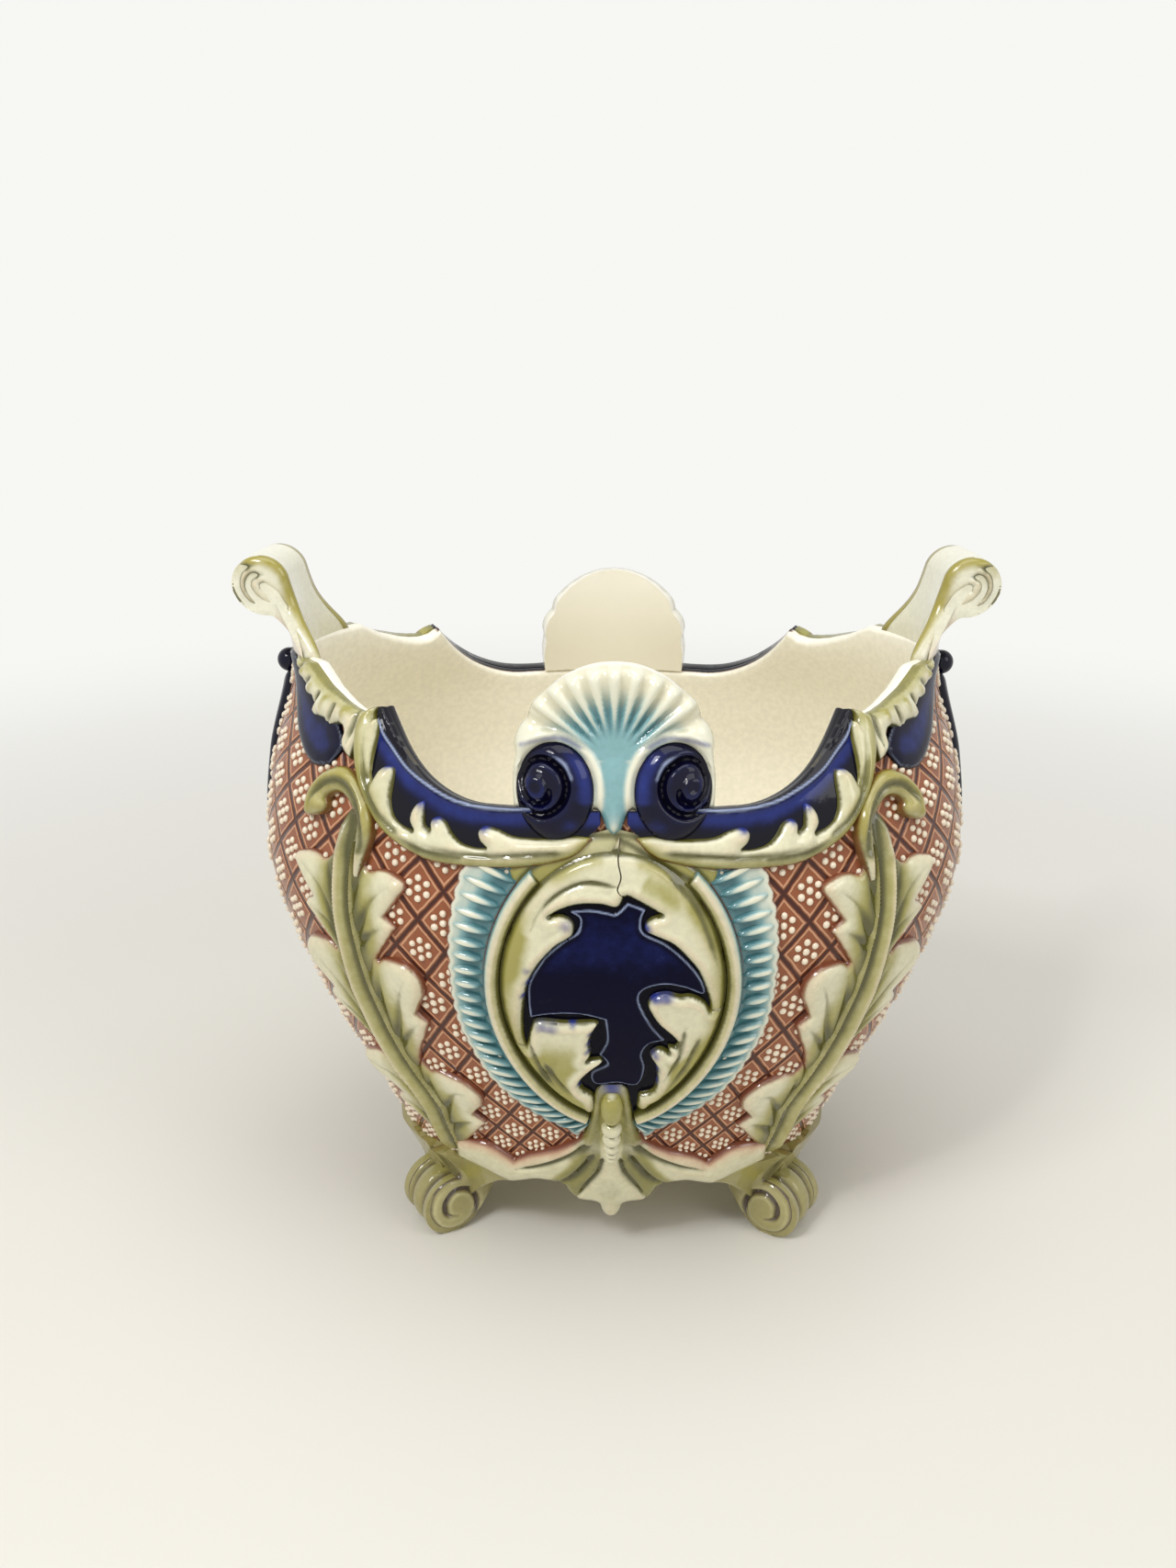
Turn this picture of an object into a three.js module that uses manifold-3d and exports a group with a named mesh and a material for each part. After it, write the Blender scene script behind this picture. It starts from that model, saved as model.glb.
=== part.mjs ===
// Oval footed jardiniere in glazed earthenware: pressed wall panels with luted-on relief.
// Millimetres, +Z up, +X along the handles, -Y is the front, the feet stand on z = 0.
import * as THREE from "three";
import { mergeVertices } from "three/addons/utils/BufferGeometryUtils.js";
import Module from "manifold-3d";

const wasm = await Module();
wasm.setup();

// ---------------------------------------------------------------- driving dimensions
const CLEARANCE = 0.3; // air left at each luted joint
const WALL = 7; // thickness of the pressed clay
const SEAT = 0.7; // underside of the relief stands this far off the drawn wall surface
const DIG = 1.5; // trimming tools reach this far under that surface
const BODY_FOOT_Z = 42; // lower edge of the wall
const FLOOR_TOP_Z = 52; // face that a flower pot stands on
const FLOOR_THICK = 8;
const RIM_LOW_Z = 221.5; // rim beside the crest
const PEAK_Z = 249.5; // pointed rim corner
const PEAK_AZ = 50.2; // azimuth of that corner, degrees from the front centre
const NECK_Z = 258; // joint between the end wall and its rolled handle
const CORNER_AZ = 51; // line of the corner stems
const RELIEF = 5; // usual height of the sprigged relief

// Plan of the body at each height: half length, half depth and squareness of the oval.
const BODY = [
  { z: 8, end: 85, front: 65, power: 2.3 },
  { z: BODY_FOOT_Z, end: 98.5, front: 76.5, power: 2.3 },
  { z: 70, end: 111.5, front: 87, power: 2.3 },
  { z: 120, end: 135, front: 104.5, power: 2.25 },
  { z: 170, end: 150.5, front: 115.5, power: 2.2 },
  { z: 210, end: 147.5, front: 111.5, power: 2.1 },
  { z: 250, end: 137.5, front: 103.5, power: 1.7 },
  { z: 290, end: 140, front: 103.5, power: 1.65 },
];

const CREST = { foot: 36, top: 272.5, flutes: 11 };
const VOLUTE = { x: 22, z: 227.5, wide: 14.8, tall: 18, thick: 9, seat: 0.8, core: 2 };
const OVAL = { x: 47.7, z: 152, up: 60.7, down: 72, ring: 5.5, frill: 12.5 };
const HANDLE = { x: 146.5, z: 285, r: 12, half: 20, tongue: 34 };
const FOOT = { az: 57, rho: 90.5, z: 13.5, r: 14.5, half: 14 };

// ---------------------------------------------------------------- small helpers
const vec = (x, y, z) => new THREE.Vector3(x, y, z);
const vec2 = (p) => new THREE.Vector2(p[0], p[1]);
const rad = THREE.MathUtils.degToRad;
const lerp = THREE.MathUtils.lerp;
const smoothstep = THREE.MathUtils.smoothstep;
const range = (n, from = 0, to = 1) =>
  Array.from({ length: n + 1 }, (_, i) => lerp(from, to, i / n));

// Smooth curve through a few points, as a function of t in 0..1.
function smooth(points) {
  const curve = new THREE.SplineCurve(points.map(vec2));
  return (t) => curve.getPoint(THREE.MathUtils.clamp(t, 0, 1));
}

// Straight runs between points, for toothed edges.
function pointed(points) {
  const list = points.map(vec2);
  const last = list.length - 1;
  return (t) => {
    const k = THREE.MathUtils.clamp(t, 0, 1) * last;
    const i = Math.min(Math.floor(k), last - 1);
    return list[i].clone().lerp(list[i + 1], k - i);
  };
}

// Cubic through keyed stations, for one field of a list ordered by z.
function through(stations, key, z) {
  const last = stations.length - 1;
  let i = 0;
  while (i < last - 1 && z > stations[i + 1].z) i += 1;
  const slope = (k) => {
    const a = stations[Math.max(k - 1, 0)];
    const b = stations[Math.min(k + 1, last)];
    return (b[key] - a[key]) / (b.z - a.z);
  };
  const a = stations[i];
  const b = stations[i + 1];
  const h = b.z - a.z;
  const t = (z - a.z) / h;
  const t2 = t * t;
  const t3 = t2 * t;
  return (
    (2 * t3 - 3 * t2 + 1) * a[key] +
    (t3 - 2 * t2 + t) * h * slope(i) +
    (3 * t2 - 2 * t3) * b[key] +
    (t3 - t2) * h * slope(i + 1)
  );
}

// ---------------------------------------------------------------- the body surface
function wallFoot(azimuth, z) {
  const end = through(BODY, "end", z);
  const front = through(BODY, "front", z);
  const power = through(BODY, "power", z);
  const s = Math.sin(azimuth);
  const c = Math.cos(azimuth);
  const r = (Math.abs(s / end) ** power + Math.abs(c / front) ** power) ** (-1 / power);
  return vec(r * s, -r * c, z);
}

function wallNormal(azimuth, z) {
  const step = 0.01;
  const along = wallFoot(azimuth + step, z).sub(wallFoot(azimuth - step, z));
  const up = wallFoot(azimuth, z + 1).sub(wallFoot(azimuth, z - 1));
  return along.cross(up).normalize();
}

// Sheets turn drawing coordinates (u, v) and a height h into a point on the body.
// "round" takes degrees from the front centre, "face" takes x, "corner" takes mm from the stem.
function round(u, v, h) {
  return wallFoot(rad(u), v).addScaledVector(wallNormal(rad(u), v), h);
}
round.scale = 2.3;

function face(u, v, h) {
  const end = through(BODY, "end", v);
  const front = through(BODY, "front", v);
  const power = through(BODY, "power", v);
  const y = front * (1 - Math.abs(u / end) ** power) ** (1 / power);
  return round(THREE.MathUtils.radToDeg(Math.atan2(u, y)), v, h);
}
face.scale = 1;

function corner(u, v, h) {
  const r = Math.hypot(...wallFoot(rad(CORNER_AZ), v).toArray().slice(0, 2));
  return round(CORNER_AZ + THREE.MathUtils.radToDeg(u / r), v, h);
}
corner.scale = 1;

// ---------------------------------------------------------------- solids
function geometryOf(points, faces) {
  const g = new THREE.BufferGeometry();
  g.setAttribute(
    "position",
    new THREE.Float32BufferAttribute(points.flatMap((p) => [p.x, p.y, p.z]), 3),
  );
  g.setIndex(faces.flat());
  return g;
}

function solidOf(geometry) {
  const bare = new THREE.BufferGeometry();
  bare.setAttribute("position", geometry.getAttribute("position"));
  bare.setIndex(geometry.index);
  const merged = mergeVertices(bare, 1e-3);
  const solid = new wasm.Manifold(
    new wasm.Mesh({
      numProp: 3,
      vertProperties: Float32Array.from(merged.attributes.position.array),
      triVerts: Uint32Array.from(merged.index.array),
    }),
  );
  if (solid.volume() < 0) {
    const flipped = Uint32Array.from(merged.index.array).reverse();
    return new wasm.Manifold(
      new wasm.Mesh({
        numProp: 3,
        vertProperties: Float32Array.from(merged.attributes.position.array),
        triVerts: flipped,
      }),
    );
  }
  return solid;
}

const largest = (solid) =>
  solid.decompose().reduce((a, b) => (b.volume() > a.volume() ? b : a));
const join = (...solids) => solids.reduce((a, b) => a.add(b));
const cut = (solid, ...tools) => largest(tools.reduce((a, b) => a.subtract(b), solid));

// A closed loop swept through rings of points of equal length, capped at both ends.
function loft(rings) {
  const n = rings[0].length;
  const faces = [];
  for (let i = 0; i + 1 < rings.length; i += 1)
    for (let j = 0; j < n; j += 1) {
      const k = (j + 1) % n;
      const [a, b, c, d] = [i * n + j, i * n + k, (i + 1) * n + k, (i + 1) * n + j];
      faces.push([a, b, c], [a, c, d]);
    }
  const end = (rings.length - 1) * n;
  for (let j = 1; j + 1 < n; j += 1) {
    faces.push([0, j + 1, j]);
    faces.push([end, end + j, end + j + 1]);
  }
  return solidOf(geometryOf(rings.flat(), faces));
}

// Relief between two drawn lines on a sheet: s runs from line a to line b, t along them.
// "grow" widens the outline by that many millimetres, for the tool that trims a neighbour.
function relief(sheet, a, b, along, across, height, base = SEAT, grow = 0, under = [1, 0]) {
  const ts = Array.isArray(along) ? along : range(along);
  const metric = (p) => vec2([p.x * sheet.scale, p.y]);
  const rings = ts.map((t, i) => {
    const step = 0.01;
    let [p, q] = [a(t), b(t)];
    if (grow) {
      const side = metric(q).sub(metric(p)).normalize();
      const run = metric(a(t + step)).sub(metric(a(t - step)));
      run.add(metric(b(t + step)).sub(metric(b(t - step)))).normalize();
      const ends = i === 0 ? -grow : i === ts.length - 1 ? grow : 0;
      const shift = (point, sign) => {
        const x = sign * grow * side.x + ends * run.x;
        const y = sign * grow * side.y + ends * run.y;
        return vec2([point.x + x / sheet.scale, point.y + y]);
      };
      [p, q] = [shift(p, -1), shift(q, 1)];
    }
    const at = (s, h) => sheet(lerp(p.x, q.x, s), lerp(p.y, q.y, s), h);
    return [...across.map((s) => at(s, height(t, s))), ...under.map((s) => at(s, base))];
  });
  return loft(rings);
}

// The trimming tool of a relief: the same outline, one clearance larger, taller than any relief.
const TOOL_TOP = 30;
const tool = (sheet, a, b, along, base = -DIG) =>
  relief(sheet, a, b, along, [0, 1], () => TOOL_TOP, base, 1.2 * CLEARANCE);

// Wall panel between two azimuths: a grid outside, the same grid one wall thickness inside.
function panel(columns, rows, bottom, top, outside, inside) {
  const n = columns.length;
  const points = [];
  const index = (i, j, skin) => (i * rows.length + j) * 2 + skin;
  columns.forEach((u) =>
    rows.forEach((r) => {
      const z = lerp(bottom(u), top(u), r);
      points.push(round(u, z, outside), round(u, z, inside));
    }),
  );
  const faces = [];
  const quad = (a, b, c, d, mirrored = false) =>
    mirrored ? faces.push([a, b, d], [b, c, d]) : faces.push([a, b, c], [a, c, d]);
  const m = rows.length;
  for (let i = 0; i + 1 < n; i += 1)
    for (let j = 0; j + 1 < m; j += 1) {
      const left = 2 * i < n - 1; // the two halves of a panel are split alike
      quad(index(i, j, 0), index(i + 1, j, 0), index(i + 1, j + 1, 0), index(i, j + 1, 0), left);
      quad(index(i, j, 1), index(i, j + 1, 1), index(i + 1, j + 1, 1), index(i + 1, j, 1), left);
    }
  for (let i = 0; i + 1 < n; i += 1) {
    quad(index(i, 0, 0), index(i, 0, 1), index(i + 1, 0, 1), index(i + 1, 0, 0));
    quad(index(i, m - 1, 0), index(i + 1, m - 1, 0), index(i + 1, m - 1, 1), index(i, m - 1, 1));
  }
  for (let j = 0; j + 1 < m; j += 1) {
    quad(index(0, j, 0), index(0, j + 1, 0), index(0, j + 1, 1), index(0, j, 1));
    quad(index(n - 1, j, 0), index(n - 1, j, 1), index(n - 1, j + 1, 1), index(n - 1, j + 1, 0));
  }
  return solidOf(geometryOf(points, faces));
}

// ---------------------------------------------------------------- rim line
const RIM_SWEEP = 1.8; // steepness of the hollow between crest and corner
const endRim = smooth([
  [PEAK_AZ, PEAK_Z],
  [54.5, 246],
  [60, 248],
  [66, 252],
  [72, NECK_Z],
]);
const HOLLOW_AZ = 24.6;

function rimZ(u) {
  const a = Math.abs(u);
  if (a <= HOLLOW_AZ) return RIM_LOW_Z;
  if (a <= PEAK_AZ) {
    const s = (a - HOLLOW_AZ) / (PEAK_AZ - HOLLOW_AZ);
    return RIM_LOW_Z + (PEAK_Z - RIM_LOW_Z) * s ** RIM_SWEEP;
  }
  const b = a > 90 ? 180 - a : a;
  if (b < PEAK_AZ) return rimZ(b);
  for (const t of range(60)) {
    const p = endRim(t);
    if (p.x >= b) return Math.min(p.y, NECK_Z);
  }
  return NECK_Z;
}

// ---------------------------------------------------------------- body
const ROWS = [0, 0.22, 0.43, 0.61, 0.75, 0.86, 0.94, 1];
const SEAM = 0.09; // degrees between a panel's edge and the corner line
const bothWays = (list, middle) => [
  ...[...list].reverse().map((u) => 2 * middle - u),
  ...(list[0] === middle ? list.slice(1) : list),
];
const frontColumns = bothWays([0, 10, 20, HOLLOW_AZ, 31, 37, 42, 46.5, CORNER_AZ - SEAM], 0);
const endColumns = bothWays(
  [90, 81, 72, 66, 60, 54.5, CORNER_AZ + SEAM],
  90,
);
const footZ = () => BODY_FOOT_Z;

const frontWall = panel(frontColumns, ROWS, footZ, rimZ, 0, -WALL);
const endWall = panel(endColumns, ROWS, footZ, rimZ, 0, -WALL);
const skinTop = (u) => rimZ(u) + CLEARANCE;
const skins = [
  panel(frontColumns, ROWS, () => BODY_FOOT_Z - CLEARANCE, skinTop, CLEARANCE, -WALL - 2),
  panel(endColumns, ROWS, () => BODY_FOOT_Z - CLEARANCE, skinTop, CLEARANCE, -WALL - 2),
  panel([CORNER_AZ - 1, CORNER_AZ + 1], ROWS, footZ, rimZ, CLEARANCE, -WALL - 2),
];
const seated = (solid, ...tools) => cut(solid, ...skins, ...tools); // trimmed by the wall too

// The floor is one oval plate luted inside the foot of the wall.
function ovalPlate() {
  const ring = (z, inset) =>
    range(29, 0, 348).map((u) => {
      const tilt = round(u, z, -WALL - inset).z - z; // the inner face leans, the plate is level
      return round(u, z - tilt, -WALL - inset).setZ(z);
    });
  return loft([
    ring(FLOOR_TOP_Z, CLEARANCE),
    ring(FLOOR_TOP_Z - FLOOR_THICK, CLEARANCE),
  ]);
}

// ---------------------------------------------------------------- crest, volutes, rim scrolls
const crestEdge = smooth([
  [CREST.foot, RIM_LOW_Z + CLEARANCE],
  [CREST.foot, 231],
  [34.6, 239],
  [31.3, 246.5],
  [26.3, 256.5],
  [20, 263.5],
  [11, 269.8],
  [0, CREST.top],
]);

// Fan of shallow flutes: rays from one point low in the crest out to its whole outline.
const FAN = { z: 234, depth: 1.6, lift: 3, rim: 0.5, lip: 0.9 };
const FAN_STEPS = 2 * CREST.flutes;
function crestShell() {
  const outline = range(FAN_STEPS).map((t) => {
    const p = crestEdge(1 - Math.abs(2 * t - 1));
    return { x: p.x * Math.sign(t - 0.5), z: p.y, crown: FAN.depth };
  });
  [0.5, 0, -0.5].forEach((s) => {
    outline.push({ x: s * CREST.foot, z: RIM_LOW_Z + CLEARANCE, crown: 0 });
  });
  const n = outline.length;
  const points = [face(0, FAN.z, FAN.lift), face(0, FAN.z, -WALL)];
  const row = (s, h) =>
    outline.map(({ x, z, crown }, i) => face(s * x, lerp(FAN.z, z, s), h(i % 2 ? crown : -crown)));
  points.push(...row(FAN.lip, (crown) => FAN.lift + crown), ...row(1, () => FAN.rim));
  points.push(...row(1, () => -WALL));
  const at = (k, i) => 2 + k * n + (i % n);
  const faces = outline.flatMap((_, i) => [
    [0, at(0, i + 1), at(0, i)],
    [at(0, i), at(0, i + 1), at(1, i + 1)],
    [at(0, i), at(1, i + 1), at(1, i)],
    [at(1, i), at(1, i + 1), at(2, i + 1)],
    [at(1, i), at(2, i + 1), at(2, i)],
    [at(2, i), at(2, i + 1), 1],
  ]);
  return solidOf(geometryOf(points, faces));
}

const disc = (cx, cz, rx, rz, n, h, base, grow = 0) => {
  const inner = (t) => vec2([cx + (rx + grow) * Math.cos(Math.PI * t), 0]);
  const rows = range(n, 0.04, 0.96).map((t) => {
    const half = Math.sin(Math.PI * t);
    return { x: inner(t).x, half: half * (rz + grow) };
  });
  const rings = rows.map(({ x, half }) => {
    const across = [-1, -0.7, 0, 0.7, 1];
    const lift = (s) => {
      const d = ((x - cx) / rx) ** 2 + ((s * half) / rz) ** 2;
      return h(Math.min(d, 1));
    };
    return [
      ...across.map((s) => face(x, cz + s * half, lift(s))),
      ...[1, 0, -1].map((s) => face(x, cz + s * half, base)),
    ];
  });
  return loft(rings);
};

// Spiral cord on a sheet, from radius 1 in to the eye, on an oval of half axes rx, rz.
function spiral(sheet, cx, cz, rx, rz, turn, from, turns, width, h, sink, n = 40) {
  const reach = (t) => lerp(1, 0.2, t ** 0.85);
  const point = (t, w) => {
    const a = from + turn * turns * 2 * Math.PI * t;
    const k = reach(t);
    return vec2([cx + (rx * k - w) * Math.cos(a), cz + (rz * k - w) * Math.sin(a)]);
  };
  const w = (t) => width * lerp(1, 0.5, t);
  return relief(
    sheet,
    (t) => point(t, w(t)),
    (t) => point(t, 0),
    n,
    [0, 0.5, 1],
    (t, s) => h * lerp(1, 0.8, t) * (s === 0.5 ? 1 : 0.45),
    -sink,
  );
}

const voluteDish = (grow, high, base) =>
  disc(VOLUTE.x, VOLUTE.z, VOLUTE.wide, VOLUTE.tall, 7, high, base, grow);
const voluteTool = voluteDish(CLEARANCE * 1.3, () => TOOL_TOP, 0.35);
const voluteCord = spiral(
  face, VOLUTE.x + 1, VOLUTE.z, VOLUTE.wide - 1.6, VOLUTE.tall - 1.6,
  1, -0.35 * Math.PI, 1.6, 5.2, VOLUTE.thick, -VOLUTE.core, 13,
);

// Line where the leaf meets the rim band, and the teeth that lie over the band.
const meeting = smooth([
  [3.4, 214], [10, 209], [17, 206], [22, 205], [26.8, 204.5], [32.6, 207], [37.6, 208.5],
  [41.5, 212.5], [44.8, 219], [46.6, 225], [47.9, 232.5], [48.6, 240], [49.5, 246],
]);
const TEETH = [
  { foot: [[18.5, 205], [22.8, 204.5]], tip: [22.4, 216] },
  { foot: [[26.5, 204], [31.6, 206]], tip: [31.3, 216] },
  { foot: [[32.2, 206.5], [37, 208]], tip: [34.6, 219.5] },
  { foot: [[38.2, 208.5], [42.6, 214]], tip: [41.9, 227] },
];
const rimLine = (from, to) => (t) => {
  const u = lerp(from, to, t);
  return vec2([u, rimZ(u) - CLEARANCE]);
};
const bandTop = rimLine(13, PEAK_AZ - 0.3);
const leafFoot = smooth([
  [3, 211], [6, 206], [10, 203], [17, 200], [24, 199], [31.7, 199], [36, 201], [39.4, 204],
  [42.5, 207.8], [45.8, 214], [49.4, 221.8], [52.1, 229], [53.6, 237], [53, 246],
]);
const BAND = { from: 0.2, low: 2.4, ridge: 3.6, at: 0.9, wide: 0.1 };
const bandLow = (t) => {
  const p = meeting(lerp(BAND.from, 1, t));
  return vec2([p.x, p.y + 1.5 * CLEARANCE]);
};
const bandHeight = (t, s) => {
  const ridge = Math.exp(-(((s - BAND.at) / BAND.wide) ** 2));
  return BAND.low + BAND.ridge * ridge * smoothstep(1 - t, 0, 0.12);
};
const leafHeight = (t, s) => 3.4 + 3.6 * Math.sin(Math.PI * (0.15 + 0.75 * s));
const toothHeight = (t) => lerp(6.6, 4.4, t);
const tooth = ({ foot, tip }) =>
  relief(
    round,
    smooth([foot[0], [lerp(foot[0][0], tip[0], 0.45), lerp(foot[0][1], tip[1], 0.6)], tip]),
    smooth([foot[1], [foot[1][0] + 0.3, lerp(foot[1][1], tip[1], 0.5)], [tip[0] + 0.4, tip[1]]]),
    2,
    [0, 0.5, 1],
    (t, s) => toothHeight(t) - (s === 0.5 ? 0 : 0.8),
    BAND.low + 3 * CLEARANCE,
  );

// ---------------------------------------------------------------- medallion
// Half outline of the oval: angle 0 at the top, pi at the bottom; grow moves it outward.
function ovalPoint(angle, grow = 0) {
  const high = Math.cos(angle);
  const reach = high > 0 ? OVAL.up : OVAL.down;
  const fall = high > 0 ? 1 : 1 - 0.17 * high ** 2 * (1 - 0.25 * Math.abs(high));
  const x = OVAL.x * Math.sin(angle) * fall;
  return vec2([x + grow * Math.sin(angle), OVAL.z + (reach + grow) * high]);
}
const ovalLine = (grow, from, to) => (t) => ovalPoint(lerp(from, to, t), grow(t));
const RING_FROM = 0.7;
const RING_TO = Math.PI - 0.24;
const ringIn = ovalLine(() => -OVAL.ring, RING_FROM, RING_TO);
const ringOut = ovalLine(() => 0, RING_FROM, RING_TO);
const RING_STEPS = 17;
const FRILL_RIBS = 20;
const frillIn = ovalLine(() => CLEARANCE * 1.5, RING_FROM - 0.05, RING_TO + 0.03);
const frillReach = (t) => OVAL.frill * lerp(1, 0.7, t) * smoothstep(t, -0.35, 0.06);
const frillOut = ovalLine(
  (t) => frillReach(t) + 1.1 * Math.abs(Math.sin(Math.PI * FRILL_RIBS * t)),
  RING_FROM - 0.05,
  RING_TO + 0.06,
);
const ringHeight = (t, s) => 1.5 + 4.2 * Math.sin(Math.PI * (0.1 + 0.8 * s));
const frillHeight = (t, s) => 3.6 - 1.8 * s + 0.9 * Math.abs(Math.sin(Math.PI * FRILL_RIBS * t));

// ---------------------------------------------------------------- mirrored and turned copies
function flipX(solid) {
  const mesh = solid.getMesh();
  const points = Float32Array.from(mesh.vertProperties);
  for (let i = 0; i < points.length; i += mesh.numProp) points[i] = -points[i];
  return new wasm.Manifold(
    new wasm.Mesh({
      numProp: mesh.numProp,
      vertProperties: points,
      triVerts: Uint32Array.from(mesh.triVerts).reverse(),
    }),
  );
}

const root = new THREE.Group();
const glaze = (color) => new THREE.MeshStandardMaterial({ color, roughness: 0.25 });
const GLAZE = {
  brown: glaze(0xa5644b),
  navy: glaze(0x14144b),
  pale: glaze(0xdcdebe),
  olive: glaze(0xb4b66a),
  teal: glaze(0x78a5aa),
  cream: glaze(0xebe4c8),
  foot: glaze(0xa09b64),
};

function add(name, solid, material, turned = false) {
  const mesh = solid.getMesh();
  const n = mesh.numProp;
  const points = new Float32Array(mesh.numVert * 3);
  for (let i = 0; i < mesh.numVert; i += 1)
    points.set(mesh.vertProperties.subarray(i * n, i * n + 3), i * 3);
  const g = new THREE.BufferGeometry();
  g.setAttribute("position", new THREE.BufferAttribute(points, 3));
  g.setIndex(new THREE.BufferAttribute(mesh.triVerts, 1));
  g.computeVertexNormals();
  const part = new THREE.Mesh(g, material);
  part.name = name;
  if (turned) part.rotation.z = Math.PI;
  root.add(part);
}

// One pressing used at the front and again, turned half round, at the back.
function pair(name, solid, material, names = ["front", "back"]) {
  add(`${name}_${names[0]}`, solid, material);
  add(`${name}_${names[1]}`, solid, material, true);
}

// A pressing with its mirror image, both used on both faces.
function four(name, solid, material) {
  pair(name, solid, material, ["front_right", "back_left"]);
  pair(name, flipX(solid), material, ["front_left", "back_right"]);
}

// ---------------------------------------------------------------- rim: crest, volutes, scrolls
const cuspLine = (sign) =>
  smooth([
    [sign * 0.4, 209], [sign * 2, 214], [sign * 3.4, 222], [sign * 5, 232], [sign * 9, 242],
  ]);
const cusp = relief(face, cuspLine(-1), cuspLine(1), 5, [0, 0.5, 1], (t, s) => 2.6 + 9 * s * (1 - s));
const crest = cut(join(crestShell(), cusp), voluteTool, flipX(voluteTool));
const volute = join(
  voluteDish(0, (d) => 3.4 + 3 * Math.sqrt(1 - d * 0.98), VOLUTE.seat),
  voluteCord,
);
const LEAF_RUN = [0, 0.1, ...range(9, BAND.from, 1)]; // its last stations are the band's own
const leafTool = tool(round, leafFoot, meeting, LEAF_RUN);
const rimBand = cut(
  relief(round, bandLow, bandTop, 9, [0, 0.76, BAND.at, 1], bandHeight),
  voluteTool,
);
const rimLeaf = cut(
  join(relief(round, leafFoot, meeting, LEAF_RUN, [0, 0.45, 1], leafHeight), ...TEETH.map(tooth)),
  voluteTool,
);

// ---------------------------------------------------------------- corner stems
const UNDER = [1, 0.5, 0]; // wide pieces bend with the wall underneath as well
const STEM_LINE = [[-6, 214], [-6, 190], [-6, 150], [-9, 100], [-12, 74], [-9, BODY_FOOT_Z + 5]];
const stemMid = smooth(STEM_LINE);
const stemSide = (w) => (t) => {
  const p = stemMid(t);
  return vec2([p.x + w * lerp(1, 0.85, t), p.y]);
};
const STEM = { half: 7, ridge: 8, groove: 5 };
const stemHeight = (t, s) => {
  const fromRidge = Math.min(Math.abs(s - 0.25), Math.abs(s - 0.75));
  return lerp(STEM.ridge, 2, Math.min(1, fromRidge * 4)) + (s === 0.5 ? STEM.groove - 2 : 0);
};
const headOut = smooth([
  [17, 205.5], [17.5, 215], [14, 221], [9, 224.5], [4, 225.5], [-2, 223.5], [-7.5, 219.5],
  [-14, 213], [-16.3, 207], [-15.5, 199], [-12.5, 188],
]);
const headIn = smooth([
  [9, 206.5], [6.5, 211.7], [5.5, 215.5], [3, 217], [-0.5, 216.3], [-5, 213.5], [-9, 210],
  [-10.3, 204], [-9, 196], [-7, 186],
]);
// Scalloped edge of the three leaves that grow from the stem, and the line they share under it.
const LEAF_EDGE = [
  [-13, 195], [-18, 192], [-26, 192.5], [-33, 189], [-25, 175], [-29.5, 171.5], [-23, 162],
  [-15, 153], [-31, 155], [-35.5, 149], [-28, 133], [-31.5, 128.5], [-25, 116], [-15, 102],
  [-28, 99.5], [-40, 91], [-31, 78], [-34.5, 74], [-28, 67], [-16, 58],
];
const leafEdge = pointed(LEAF_EDGE);
// Middle of the stem at a height, read from its line.
function stemAt(z) {
  const k = STEM_LINE.findIndex((p) => p[1] <= z);
  if (k <= 0) return STEM_LINE.at(k)[0];
  const [a, b] = [STEM_LINE[k - 1], STEM_LINE[k]];
  return lerp(a[0], b[0], (a[1] - z) / (a[1] - b[1]));
}
const leafRoot = (t) => {
  const p = leafEdge(t);
  return vec2([stemAt(p.y) - 3, p.y]);
};
const LEAF_STEPS = LEAF_EDGE.length - 1;
const LEAF_SEAT = SEAT + CLEARANCE; // the leaves are thinner than the stem they grow from
const stemLeafHeight = (t, s) => 2.4 + 3.2 * Math.sin(Math.PI * Math.min(1, 0.2 + 0.7 * s));
const stemLeaf = (turn) => {
  const lines = [turn(leafRoot), turn(leafEdge)];
  const across = [0, 0.6, 1];
  return relief(corner, ...lines, LEAF_STEPS, across, stemLeafHeight, LEAF_SEAT, 0, UNDER);
};
// The leaves on the end's side mirror those on the front's side across the stem.
const other = (line) => (t) => {
  const p = line(t);
  return vec2([2 * stemAt(p.y) - p.x, p.y]);
};
const headHeight = (t, s) => 3 + 5.5 * Math.sin(Math.PI * (0.1 + 0.8 * s));
const STEM_STEPS = 9;
const stemLines = [stemSide(-STEM.half), stemSide(STEM.half), STEM_STEPS];
const stemSolid = join(
  relief(corner, ...stemLines, [0, 0.25, 0.5, 0.75, 1], stemHeight, SEAT, 0, UNDER),
  relief(corner, headOut, headIn, 9, [0, 0.5, 1], headHeight),
  stemLeaf((line) => line),
  stemLeaf(other),
);
const stemTool = join(
  tool(corner, headOut, headIn, 9),
  tool(corner, ...stemLines),
);

// ---------------------------------------------------------------- apron and bead drop
const APRON_LOW = [
  [66, 46], [54, 43.5], [42, 38], [33, 41.5], [24, 41], [19, 37.5], [15, 31], [10, 29],
  [5.5, 27.5], [3.5, 22.5], [0, 19.5],
];
const APRON_HIGH = [
  [66, 57], [54, 59.5], [42, 51], [34, 57], [24, 61.5], [14, 69], [9.5, 80], [7.8, 92],
  [6, 101], [3.8, 105], [0, 106],
];
const bothSides = (list) => {
  const whole = [...list, ...list.slice(0, -1).reverse().map(([x, z]) => [-x, z])];
  return smooth(whole);
};
const apronLow = bothSides(APRON_LOW);
const apronHigh = bothSides(APRON_HIGH);
const apronHeight = (extra) => (t, s) =>
  extra + RELIEF - 1.4 * Math.abs(Math.cos(6 * Math.PI * t)) * s - 2 * (s > 0.9) - (s < 0.1);
const APRON_ACROSS = [0, 0.5, 1];
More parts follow.
